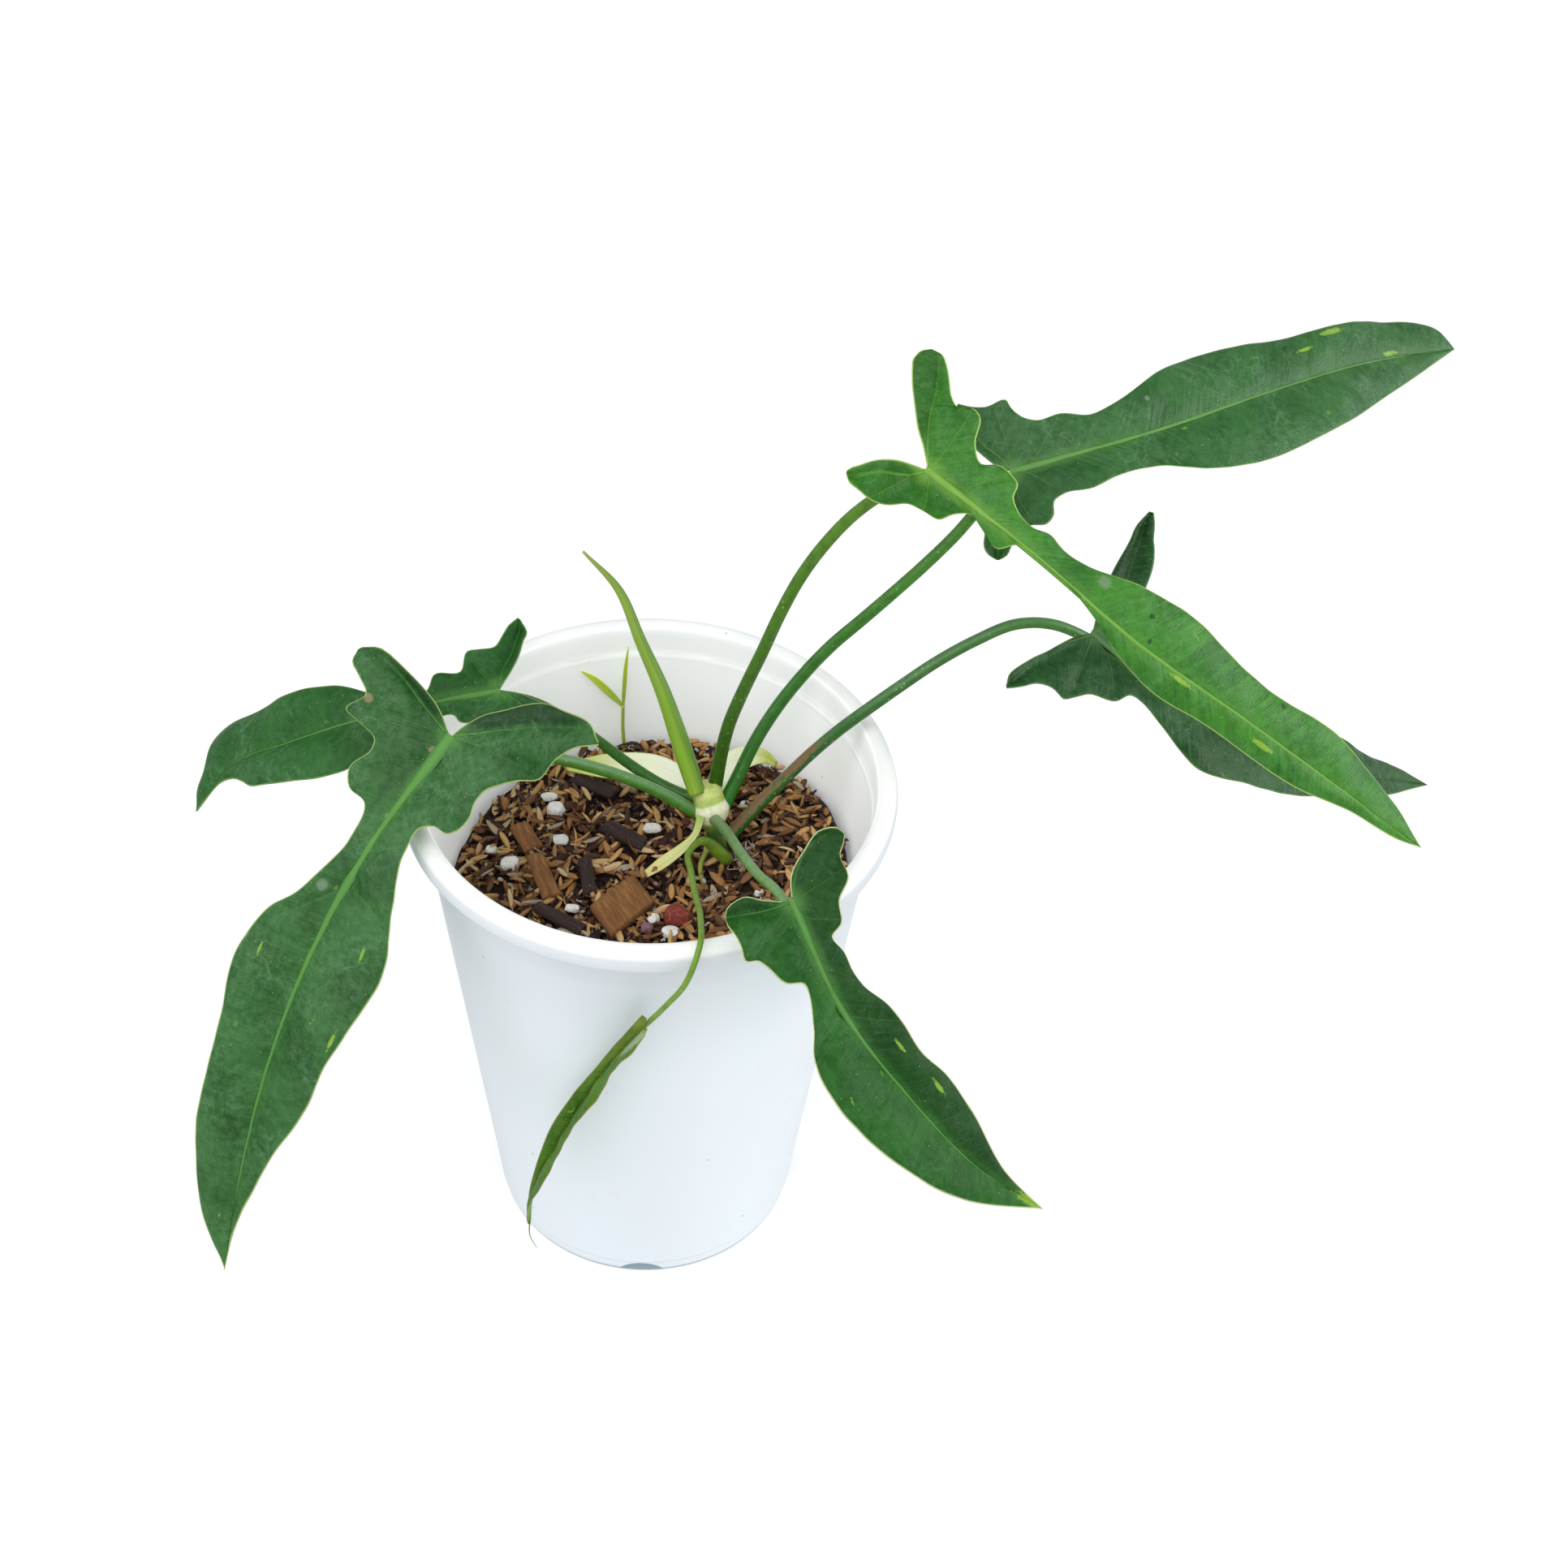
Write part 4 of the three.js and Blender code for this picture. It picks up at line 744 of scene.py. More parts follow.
def upper_face(name, leaf):
    """Glossy green with main veins, a pale margin, yellow flecks, marks, dried water lines, painted sheen and painted
    shade.
    """
    finish = Finish(name + "_upper", IOR=leaf.get("gloss", 1.4))
    s, w, margin = finish.values("place")
    rib, second, third = finish.values("ribs")
    fourth, lateral, away = finish.values("veins")
    flat = finish.vector(s, w)
    cloud = finish.noise(flat, 0.035, 4.0)
    mottle = finish.noise(flat, 0.3, 5.0, 0.65)
    pores = finish.noise(flat, 2.2)
    tone = (cloud.between(0.35, 0.65) * 0.5 + mottle.between(0.3, 0.7) * 0.5).clamped()
    finish.tones(tone, leaf["deep"], leaf["light"])
    shaded = scaled(leaf["deep"], 0.66)
    finish.over(pores.between(0.45, 0.7, 0.0, 0.35), shaded)
    # Fine lines beside the side veins, and painted shade in the inner fold of each basal lobe
    fine = finish.noise(finish.vector(lateral * 6.0, w * 0.03), 1.0, 3.0, 0.6).between(0.35, 0.7)
    finish.over(fine * s.between(10.0, 40.0, 0.0, leaf.get("fine", 0.12)), scaled(leaf["light"], 1.22))
    fold = rib.between(0.0, 2.5) * away.between(5.0, 14.0) * s.fading(-2.0, 6.0)
    finish.over(fold * leaf["fold"], shaded)
    # Painted shade darkens the left half
    finish.over(w.fading(-3.5, -0.5, leaf.get("left_half_shade", 0.0)), shaded)
    # Veins
    fade = away.fading(4.0, 46.0)
    lines = abs(rib).fading(0.25, 0.75) * fade
    for line in (second, third):
        lines = lines.most(abs(line).fading(0.15, 0.5, 0.6) * fade)
    lines = lines.most(abs(fourth).fading(0.15, 0.6, 0.4) * away.fading(60.0, 118.0))
    side_veins = side_vein_distance(lateral).fading(0.1, 0.5, 0.2)
    lines = lines.most(side_veins * s.between(18.0, 40.0) * abs(w).between(2.0, 16.0, 1.0, 0.1))
    finish.over(lines * leaf["veins"], leaf["rib"])
    # Pale zone beside the midrib and round the junction
    halo = abs(w).fading(0.8, 5.0, 0.5) * s.between(0.0, 70.0, 1.0, 0.2)
    finish.over(halo.most(away.fading(1.0, 9.0, 0.6)), leaf["rib"])
    # Yellow flecks, drawn out along the side veins
    slant = finish.vector(s * 0.5 + abs(w) * 0.25, w * 1.1 - s * 0.2)
    bounds = finish.noise(flat, 0.9, 3.0)
    flecks = (finish.cells(slant, 0.085) + (bounds - 0.5) * 0.16).fading(0.07, 0.11)
    rare = finish.noise(flat, 0.05, 1.0).between(0.5, 0.62) * leaf["flecks"]
    finish.over(flecks * rare, (150, 192, 60))
    finish.over(finish.cells(flat, 0.22).fading(0.04, 0.075) * 0.55, (150, 186, 96))
    # Water marks: thin pale contour lines, and a faint grey film that is partly dried water and partly painted sheen
    contour = finish.noise(flat, 0.035, 3.0)
    ring_lines = abs(contour - 0.5).fading(0.0, 0.007).most(abs(contour - 0.58).fading(0.0, 0.006, 0.8))
    patch = finish.noise(flat, 0.03).between(0.42, 0.6)
    finish.over(ring_lines * patch * (0.26 * leaf["film_and_sheen"]), (136, 170, 150))
    film_and_sheen = patch * mottle.between(0.4, 0.65)
    finish.over(film_and_sheen * (0.1 * leaf["film_and_sheen"]), (140, 168, 150))
    # Marks
    for kind, at, out, reach in leaf["marks"]:
        ahead, aside = s - at, w - out
        if kind == "turned":
            ahead = ahead * 0.25
        if kind == "streak":
            reach = reach * 0.75
            ahead = ahead * 0.2 + (bounds - 0.5) * reach * 1.6
        gap = finish.length(finish.vector(ahead, aside))
        ragged = gap + (mottle - 0.5) * (0.3 if kind == "drop" else 1.2) * reach
        tint, strength = MARKS[kind]
        finish.over(ragged.fading(reach * 0.55, reach * 1.1, strength), tint)
    # Pale margin
    finish.over(margin.fading(0.25, 0.7) * 0.85, leaf["edge"])
    finish.set("Roughness", mottle.between(0.25, 0.75, 0.25, 0.42) + film_and_sheen * 0.12)
    finish.relief(lines * -0.6 + pores * 0.3 + mottle * 0.8 + fine * 0.4, 0.6)
    return finish


def under_face(name, leaf):
    """Paler and duller, with the veins standing out."""
    finish = Finish(name + "_under", roughness=0.55)
    s, w, margin = finish.values("place")
    rib, second, third = finish.values("ribs")
    fourth, lateral, away = finish.values("veins")
    mottle = finish.noise(finish.vector(s, w), 0.25, 5.0, 0.6)
    finish.tones(mottle.between(0.25, 0.75), leaf["light"], [min(255, c + 34) for c in leaf["light"]])
    lines = abs(rib).fading(0.3, 0.9)
    for line in (second, third, fourth):
        lines = lines.most(abs(line).fading(0.2, 0.7, 0.8))
    lines = lines * away.fading(20.0, 70.0)
    lines = lines.most(side_vein_distance(lateral).fading(0.15, 0.6, 0.4) * s.between(18.0, 40.0))
    finish.over(lines * 0.7, leaf["rib"])
    finish.over(margin.fading(0.3, 0.8) * 0.8, leaf["edge"])
    finish.relief(lines + mottle * 0.3, 0.4)
    return finish


def stalk_finish(name, base, top, cork=None, bloom_and_sheen=0.0):
    """Smooth green stalk, lightly streaked along its length, with pale specks, a painted sheen on its upper side, and
    corky skin where it is scarred.
    """
    finish = Finish(name, roughness=0.38, IOR=1.45)
    length, share, _ = finish.values("place")
    here = finish.here()
    streak = finish.noise(here, 260.0, 3.0, 0.6)
    finish.tones(share.between(0.0, 1.0), base, top)
    finish.over(streak.between(0.35, 0.75, 0.0, 0.5), scaled(base, 0.7))
    upward = finish.facing(2).between(0.1, 0.9)
    # Painted sheen: pale grey-green on the upward side, partly the stalk's own bloom
    if bloom_and_sheen:
        finish.over(upward * bloom_and_sheen, (138, 172, 140))
    specks = finish.cells(here, 420.0).fading(0.12, 0.24)
    rare = finish.noise(here, 70.0, 1.0).between(0.44, 0.58)
    finish.over(specks * rare * 0.55, (150, 175, 120))
    if cork:
        start, end = cork
        edge = finish.noise(here, 160.0, 5.0, 0.7) * 16.0
        patch = (length + edge).between(start, start + 4.0) * (length - edge).fading(end - 16.0, end - 6.0)
        patch = patch * (upward + finish.noise(here, 150.0, 5.0, 0.7)).between(0.6, 0.8)
        broken = finish.noise(here, 300.0, 4.0, 0.7).between(0.36, 0.48)
        finish.over(patch * broken, (124, 96, 66))
    finish.relief(streak, 0.15)
    return finish


def midrib_finish(name, leaf):
    finish = Finish(name + "_midrib", roughness=0.5, IOR=leaf.get("gloss", 1.45))
    s, w, across = finish.values("place")
    streak = finish.noise(finish.vector(s * 0.15, w * 3.0), 1.0, 3.0)
    greener = [round(blend(pale, green, 0.45)) for pale, green in zip(leaf["rib"], leaf["light"])]
    finish.tones(s.between(0.0, leaf["path"].length * 0.9), leaf["rib"], greener)
    finish.over(streak.between(0.4, 0.75, 0.0, 0.7), scaled(leaf["rib"], 0.85))
    finish.over(across.between(0.25, 1.0, 0.0, 0.95), leaf["light"])
    finish.relief(streak, 0.1)
    return finish


for name, leaf in LEAVES.items():
    shape = Shape("place", "ribs", "veins")
    for side in (1, -1):
        half_blade(shape, leaf, side)
    petiole_and_midrib(shape, leaf, slot=2)
    if "thread" in leaf:
        points, faces = tube(Path(leaf["thread"]), 16, np.linspace(0.35, 0.12, 16), 8)[:2]
        shape.add(points, faces, slot=2, place=(0, 1, 0))
    midrib_strip(shape, leaf)
    finishes = [upper_face(name, leaf), under_face(name, leaf), stalk_finish(name + "_petiole", **leaf["stalk"]),
                midrib_finish(name, leaf)]
    shape.piece(name + "_grown", finishes, nodes=[name])


# Rolled new leaf

SPEAR_PATH = [[18.2, 19.5, 212], [10, 31, 231], [2, 41, 249], [-7.6, 51, 266], [-17.2, 61, 284], [-32, 65, 300]]
SPEAR_RADII = [3.4, 4.0, 3.8, 3.4, 3.0, 2.6, 2.2, 1.9, 1.2, 0.5]


def rolled_edge(turn):
    """The free edge of the rolled blade stands out a little, then drops back."""
    return 1.0 + 0.09 * (turn / FULL_TURN) - 0.045


def new_leaf():
    stations, sides, smoothing = 90, 32, 9
    radii = np.interp(np.linspace(0, 1, stations), np.linspace(0, 1, len(SPEAR_RADII)), SPEAR_RADII)
    radii = np.convolve(np.pad(radii, smoothing // 2, mode="edge"), np.ones(smoothing) / smoothing, mode="valid")
    points, faces, held = tube(Path(SPEAR_PATH), stations, radii, sides, ridge=rolled_edge)
    finish = Finish("new_leaf_green", roughness=0.36, IOR=1.42)
    length, share, turn = finish.values("place")
    streak = finish.noise(finish.vector(length * 0.02, turn * 9.0), 2.0, 3.0)
    finish.ramp(share, (0.0, (150, 184, 60)), (0.12, (132, 174, 36)), (0.55, (130, 160, 54)),
                (0.86, (138, 164, 66)), (1.0, (168, 180, 90)))
    finish.over(streak.between(0.35, 0.75, 0.0, 0.45), (104, 140, 44))
    # Painted shade: darker green on the side that faces right
    finish.over(finish.facing(0).between(-0.1, 0.7, 0.0, 0.6), (76, 124, 34))
    finish.relief(streak, 0.15)
    shape = Shape("place")
    shape.add(points, faces, place=held)
    shape.piece("new_leaf_rolled", [finish], nodes=["new_leaf"])


new_leaf()


# Stem with its node collar, aerial root and bud sheaths

STEM_PATH = [[28, 12, 150], [28, 13, 172], [28, 14, 182], [25.5, 18, 197], [22.5, 22.5, 208], [21, 24, 213]]
ROOT_PATH = [[26, 15, 190], [22, 8, 187], [21, 4, 183], [24, -3, 176], [25, -6, 168]]
PALE_SKIN = ((214, 224, 168), (238, 241, 220), (234, 238, 200))
GREEN_SKIN = ((150, 176, 84), (190, 196, 120), (206, 204, 138))
SHEATHS = [
    dict(path=[[22, 27, 206], [14, 33, 204], [4, 43, 200], [-10, 51, 195], [-26, 57, 189], [-40, 60, 185]],
         widths=[3, 5, 7, 6.5, 5, 1.5], face=[-0.1, -0.5, 0.85], fold=18, tip=(196, 204, 96), skin=PALE_SKIN),
    dict(path=[[24, 28, 204], [29, 40, 206], [36, 51, 204], [44, 57, 200], [50, 58, 195]],
         widths=[3, 6, 5.5, 4, 1.2], face=[0.1, -0.6, 0.8], fold=20, tip=(178, 190, 84), skin=PALE_SKIN),
    dict(path=[[20.5, 13.5, 205], [18.4, 9, 198.9], [13.7, 6, 193.5], [6.5, 3, 187.9], [-1.3, 0, 182.7]],
         widths=[1.8, 1.6, 2.5, 2.9, 1.8], face=[-0.2, -0.3, 0.9], fold=20, tip=(206, 200, 128), skin=GREEN_SKIN),
]


def strip(shape, path, widths, face, fold, slot, thick):
    """A thin channelled strip along a path, such as a sheath or a grass blade."""
    rows, columns = 48, 11
    half = dict(folds=[fold] * 3)
    leaf = dict(path=Path(path), faces=[face, face], wave=[0, 1, 0], left=half, right=half)
    length = leaf["path"].length
    stations = np.linspace(0, length, rows)
    width = smooth_through(np.linspace(0, length, len(widths)), np.array(widths)[:, None], stations)[:, 0]
    width = np.maximum(width, 0.15)
    steps = np.linspace(-1, 1, columns)
    points = []
    for level in (thick / 2, -thick / 2):
        for s, half_width in zip(stations, width):
            for step in steps:
                taper = level * (1 - 0.6 * abs(step) ** 3)
                points.append(on_leaf(leaf, 1 if step >= 0 else -1, s, abs(step) * half_width, taper))
    held = [(s, s / length, step) for s in stations for step in steps] * 2
    shape.add(points, sum(slab_faces(rows, columns), []), slot=slot, place=held)


def sheath_finish(number, tip, skin):
    """Thin cream skin with green lines along it, turning yellow-green or brown at the tip, and a faint painted glow."""
    finish = Finish(f"sheath_skin_{number}", roughness=0.45, Emission_Strength=0.14)
    length, share, across = finish.values("place")
    lines = finish.noise(finish.vector(length * 0.02, across * 3.0), 3.0, 3.0, 0.6)
    finish.ramp(share, (0.0, skin[0]), (0.2, skin[1]), (0.6, skin[2]), (0.88, tip), (0.97, tip), (1.0, (120, 92, 50)))
    finish.over(lines.between(0.5, 0.85, 0.0, 0.4), (186, 202, 128))
    finish.over(abs(across).between(0.85, 1.0, 0.0, 0.4), (170, 184, 96))
    # Painted light: the skin glows faintly in its own colour, for light that shines through it
    finish.set("Emission Color", finish.color)
    finish.relief(lines, 0.15)
    return finish


def three_sided(turn):
    return 1 + 0.03 * math.sin(3 * turn + 1)


def stem():
    stations, sides = 80, 40
    u = np.linspace(0, 1, stations)
    radii = 4.2 + 2.2 * smooth_step(u, 0.7, 0.79) + 1.3 * bell(u, 0.83, 0.045) - np.maximum(0, u - 0.95) * 30
    points, faces, place = tube(Path(STEM_PATH), stations, radii, sides, ridge=three_sided)
    finish = Finish("stem_skin", roughness=0.42)
    share = finish.values("place")[1]
    here = finish.here()
    streak = finish.noise(here, 240.0, 4.0, 0.6)
    finish.ramp(share, (0.0, (52, 66, 30)), (0.69, (52, 84, 28)), (0.745, (122, 150, 60)), (0.77, (230, 232, 190)),
                (0.87, (238, 239, 206)), (0.89, (176, 198, 88)), (0.94, (206, 216, 130)), (1.0, (196, 210, 118)))
    finish.over(streak.between(0.45, 0.75, 0.0, 0.6), (150, 170, 84))
    scar = finish.noise(here, 150.0, 5.0, 0.7).between(0.6, 0.7) * share.between(0.35, 0.7, 1.0, 0.1)
    finish.over(scar, (120, 84, 52))
    finish.relief(streak, 0.4)
    finishes = [finish, stalk_finish("root_skin", base=(150, 168, 60), top=(150, 120, 60))]
    shape = Shape("place")
    shape.add(points, faces, place=place)
    root = Path(ROOT_PATH)
    stations, sides = 40, 14
    radii = 1.1 - 0.4 * smooth_step(np.linspace(0, root.length, stations), 18, 28)
    points, faces, place = tube(root, stations, radii, sides)
    shape.add(points, faces, slot=1, place=place)
    for number, sheath in enumerate(SHEATHS):
        strip(shape, sheath["path"], sheath["widths"], sheath["face"], sheath["fold"], slot=2 + number, thick=0.9)
        finishes.append(sheath_finish(number + 1, sheath["tip"], sheath["skin"]))
    shape.piece("stem_and_sheaths", finishes, nodes=["stem"])


stem()


# Grass seedling at the back wall

SEEDLING_STALK = [[-16.2, 79, 172], [-16.4, 79.6, 182], [-17, 80.5, 192], [-17, 82, 202.5]]
SEEDLING_LEAVES = [
    dict(path=[[-17, 82, 202], [-23, 82.4, 209], [-29, 82.2, 216], [-34.5, 81.5, 221]], widths=[0.7, 1.5, 1.4, 0.3]),
    dict(path=[[-17, 82, 202], [-16.6, 83, 212], [-16, 84, 223], [-15, 85, 233]], widths=[0.6, 0.9, 0.8, 0.2]),
]


def grass_seedling():
    stations, sides, radius = 24, 12, 0.75
    points, faces = tube(Path(SEEDLING_STALK), stations, np.full(stations, radius), sides)[:2]
    finish = Finish("grass_green", roughness=0.45)
    length, share, across = finish.values("place")
    lines = finish.noise(finish.vector(length * 0.05, across * 4.0), 3.0)
    finish.tones(share.between(0.0, 1.0), (164, 190, 70), (204, 222, 50))
    finish.over(lines.between(0.4, 0.7, 0.0, 0.4), (156, 188, 50))
    finish.relief(lines, 0.1)
    shape = Shape("place")
    shape.add(points, faces)
    for blade in SEEDLING_LEAVES:
        strip(shape, **blade, face=[0.2, -0.9, 0.4], fold=10, slot=0, thick=0.5)
    shape.piece("grass_seedling_grown", [finish], nodes=["grass_seedling"])


grass_seedling()


# Pot. Heights are above the foot.

POT_HEIGHT = 240
RIM_RADIUS = 100
RIM_INNER = 91.3
COLLAR_DEPTH = 11.6
NECK_RADIUS = 92
FOOT_RADIUS = 64.5
WALL = 1.8
FLOOR_TOP = 6.5
NOTCHES = 4
NOTCH_RADIUS = 12.0
NOTCH_DROP = 5.9
NOTCH_TURN = 0.036
NOTCH_LENGTH = 16
NOTCH_REACH = 61
POT_SIDES = 224
COLLAR_BOTTOM = POT_HEIGHT - COLLAR_DEPTH
WALL_LEAN = (NECK_RADIUS - FOOT_RADIUS) / COLLAR_BOTTOM


def inner_radius(z):
    return FOOT_RADIUS - WALL + (NECK_RADIUS - FOOT_RADIUS) * z / COLLAR_BOTTOM


def rounded(corners, radius, steps=4):
    """A profile with each corner turned into a short curve."""
    corners = np.array(corners, float)
    line = [corners[0]]
    for before, corner, after in zip(corners, corners[1:], corners[2:]):
        start, end = [corner + unit(arm) * min(radius, np.linalg.norm(arm) * 0.45)
                      for arm in (before - corner, after - corner)]
        for t in np.linspace(0, 1, steps):
            line.append((1 - t) ** 2 * start + 2 * t * (1 - t) * corner + t ** 2 * end)
    line.append(corners[-1])
    return np.array(line)


def pot_finish():
    """Semi-gloss moulded white plastic, with faint flow marks, dust smudges, a few scuffs, painted shade and light, and
    a painted glow inside.
    """
    finish = Finish("pot_white", roughness=0.36, IOR=1.48, Emission_Strength=0.18)
    here = finish.here()
    x, y, z = [finish.part(here, axis) for axis in range(3)]
    cloud = finish.noise(finish.vector(x, y, z * 0.25), 18.0, 3.0)
    smudge = finish.noise(here, 60.0, 5.0, 0.65)
    reach = finish.length(finish.vector(x, y))
    foot, collar = FOOT_RADIUS * MM, COLLAR_BOTTOM * MM
    outside = (reach - z * WALL_LEAN).between(foot - 0.0011, foot - 0.0006)
    inside = 1 - outside
    thin = outside * z.fading(collar - 0.002, collar + 0.001)
    # Painted shade: the wall darkens up towards the collar, where its overhang shades it
    upper = z.between(collar - 0.08, collar - 0.01, 0.0, 0.8)
    band = z.between(collar - 0.019, collar - 0.015, 0.0, 0.2)
    # Painted shade and light on the one white plastic: the inside painted full white, the outside a darker blue-white,
    # and the collar darker than the wall below it
    finish.tones(outside, (253, 253, 251), (214, 219, 224))
    finish.over(thin, (229, 237, 243))
    finish.over((upper + band) * thin, (211, 218, 224))
    # Dust in the two lines below the rim, inside, and the top of the rim painted full white, as painted light on its
    # upward face
    line = abs(z - 0.2262).fading(0.0003, 0.0007).most(abs(z - 0.2236).fading(0.0002, 0.0006, 0.7))
    finish.over(line * inside * smudge.between(0.4, 0.6) * 0.5, (206, 198, 186))
    finish.over(z.between(0.2355, 0.238), (253, 253, 251))
    # Painted shade: a darker line along the step above the foot, and grey-blue shade under the foot and beneath the pot
    finish.over(abs(z - 0.0078).fading(0.0003, 0.0012, 0.4), (192, 204, 212))
    under = z.fading(0.0016, 0.0028, 0.5).most(inside * z.fading(0.0062, 0.0066, 0.9))
    finish.over(under, (138, 154, 170))
    finish.over(cloud.between(0.35, 0.75, 0.0, 0.35), (224, 229, 232))
    finish.over(smudge.between(0.62, 0.8, 0.0, 0.35), (214, 216, 214))
    speck = finish.cells(here, 95.0).fading(0.045, 0.075)
    rare = finish.noise(here, 30.0, 1.0).between(0.56, 0.6)
    finish.over(speck * rare * 0.6, (120, 116, 110))
    finish.set("Roughness", smudge.between(0.3, 0.7, 0.32, 0.46))
    # Painted light: the inside glows faintly, standing in for light that comes through the thin wall
    glow = inside * z.between(0.15, 0.17)
    finish.set("Emission Color", finish.mix(glow, (0, 0, 0, 1), (0.9, 0.95, 1, 1)))
    finish.relief(cloud * 0.6 + smudge * 0.2, 0.12)
    return finish


def pot():
    corners = [
        (0, 0), (22, 0), (24, 2.5), (51, 2.5), (53, 0), (63.3, 0), (64.4, 1.2), (64.7, 6.8), (65.9, 8.0),
        (65.8, 9.2), (NECK_RADIUS, COLLAR_BOTTOM), (RIM_RADIUS - 2.4, COLLAR_BOTTOM),
        (RIM_RADIUS - 0.4, COLLAR_BOTTOM + 1.6), (RIM_RADIUS, POT_HEIGHT - 6), (RIM_RADIUS - 0.7, POT_HEIGHT - 2.9),
        (RIM_RADIUS - 2.3, POT_HEIGHT - 0.9), (RIM_RADIUS - 4.6, POT_HEIGHT), (RIM_INNER + 1.9, POT_HEIGHT - 0.2),
        (RIM_INNER + 0.5, POT_HEIGHT - 1.4), (RIM_INNER, POT_HEIGHT - 3.6), (RIM_INNER - 0.5, POT_HEIGHT - 13),
        (inner_radius(225), 225), (inner_radius(FLOOR_TOP + 1), FLOOR_TOP + 1),
        (inner_radius(FLOOR_TOP) - 1.2, FLOOR_TOP), (0, FLOOR_TOP),
    ]
    rings = [ring(radius, height, POT_SIDES) for radius, height in rounded(corners, radius=1.4)[1:-1]]
    shape = Shape()
    shape.add(np.vstack([*rings, [[0, 0, 0], [0, 0, FLOOR_TOP]]]), stack_faces(len(rings), POT_SIDES))
    made = shape.piece("pot_shell", [pot_finish()], nodes=["pot"])
    for k in range(NOTCHES):
        cut_notch(made, k * FULL_TURN / NOTCHES + NOTCH_TURN)
    made.data.set_sharp_from_angle(angle=math.radians(35))


def cut_notch(made, turn):
    """Cuts a round drum that lies across the foot out of the pot."""
    work = bmesh.new()
    bmesh.ops.create_cone(work, cap_ends=True, segments=64, radius1=NOTCH_RADIUS * MM, radius2=NOTCH_RADIUS * MM,
                          depth=NOTCH_LENGTH * MM)
    lie = Matrix.Rotation(math.pi / 2, 4, "X")
    out = Matrix.Translation(Vector((0, -NOTCH_REACH, -NOTCH_DROP)) * MM)
    bmesh.ops.transform(work, matrix=Matrix.Rotation(turn, 4, "Z") @ out @ lie, verts=work.verts)
    mesh = bpy.data.meshes.new("notch")
    work.to_mesh(mesh)
    work.free()
    cutter = linked("notch", mesh)
    cut = made.modifiers.new("notch", "BOOLEAN")
    cut.object = cutter
    cut.operation = "DIFFERENCE"
    cut.solver = "EXACT"
    made.data = bpy.data.meshes.new_from_object(made.evaluated_get(bpy.context.evaluated_depsgraph_get()))
    made.modifiers.remove(cut)
    bpy.data.objects.remove(cutter)


pot()


# Growing mix

MIX_LEVEL = 180
MIX_DROP = 2.4
HULLS = 1950
HULL_LENGTH = (7.8, 11.2)
HULL_WIDTH = (0.25, 0.33)
BITS = dict(chunk=46, splinter=380, crumb=1500, fibre=70)
CLUMP = (38.3, 10.8)
GRAIN_CLEARANCE = 0.8
CHIP_CLEARANCE = 5.5


def level(x, y):
    """Height of the mix without its lumps: it leans a little, and dips at the left."""
    return MIX_LEVEL + 0.045 * x + 0.03 * y - 3 * np.exp(-((x + 75) ** 2 + (y - 5) ** 2) / 1200)


def mix_height(x, y):
    bank = 7 * np.exp(-((x - 72) ** 2 + (y - 42) ** 2) / 900)
    lumps = 0.8 * np.sin(x / 6.1 + 1) * np.cos(y / 7.3) + 0.5 * np.sin(x / 2.9 + y / 3.7)
    return level(x, y) + bank + lumps


def crumb_finish():
    """Dark damp fines between the hulls."""
    finish = Finish("mix_fines", roughness=0.9)
    grit = finish.noise(finish.here(), 700.0, 6.0, 0.7)
    finish.ramp(grit, (0.3, (22, 14, 11)), (0.55, (54, 35, 26)), (0.78, (104, 72, 46)))
    finish.relief(grit, 1.2)
    return finish


def mix_body():
    rings, sides = 70, 150
    draw = np.random.default_rng(11)
    radii = np.linspace(0, 1, rings + 1)[1:] * (inner_radius(172) - 0.5)
    top = np.array([ring(radius, 0, sides) for radius in radii])
    x, y = top[..., 0], top[..., 1]
    top[..., 2] = mix_height(x, y) - MIX_DROP + draw.normal(0, 0.6, x.shape)
    low = [ring(radius, height, sides) for radius, height in (
        (inner_radius(164) - 0.5, 165), (inner_radius(8.5) - 0.6, 8.5), (inner_radius(6.8) - 2.2, 6.8))]
    ends = [[0, 0, mix_height(0.0, 0.0) - MIX_DROP], [0, 0, 6.8]]
    shape = Shape()
    shape.add(np.vstack([*top, *low, ends]), stack_faces(rings + len(low), sides))
    shape.piece("mix_bed", [crumb_finish()], nodes=["growing_mix"])


def boat(length, width, depth, hollow):
    """A rice hull lying along x: pointed at both ends, keeled below, hollowed on top if it is open."""
    section = np.array([(-1, 0.15), (-0.55, -0.75), (0, -1), (0.55, -0.75), (1, 0.15), (0.5, 0.8), (-0.5, 0.8)])
    if hollow:
        section[5:] = [(0.45, -0.35), (-0.45, -0.35)]
    points = []
    for station, spread in ((-0.38, 0.55), (-0.18, 0.95), (0.06, 1.0), (0.28, 0.8), (0.43, 0.42)):
        lift = 0.35 * depth * (2 * station) ** 2
        for across, up in section:
            points.append((station * length, across * spread * width / 2, up * spread * depth / 2 + lift))
    points += [(-0.5 * length, 0, 0), (0.5 * length, 0, 0.35 * depth)]
    return np.array(points), stack_faces(5, len(section))


def turned(draw, tilt):
    """A rotation with any heading, tipped and rolled by up to the tilt."""
    heading = draw.uniform(0, FULL_TURN)
    tip = draw.normal(0, tilt)
    roll = draw.normal(0, tilt * 1.3)
    return np.array(Matrix.Rotation(heading, 3, "Z") @ Matrix.Rotation(tip, 3, "Y") @ Matrix.Rotation(roll, 3, "X"))


def spot(draw, edge):
    """A place anywhere within a radius."""
    reach = edge * math.sqrt(draw.uniform(0, 1))
    heading = draw.uniform(0, FULL_TURN)
    return reach * math.cos(heading), reach * math.sin(heading)


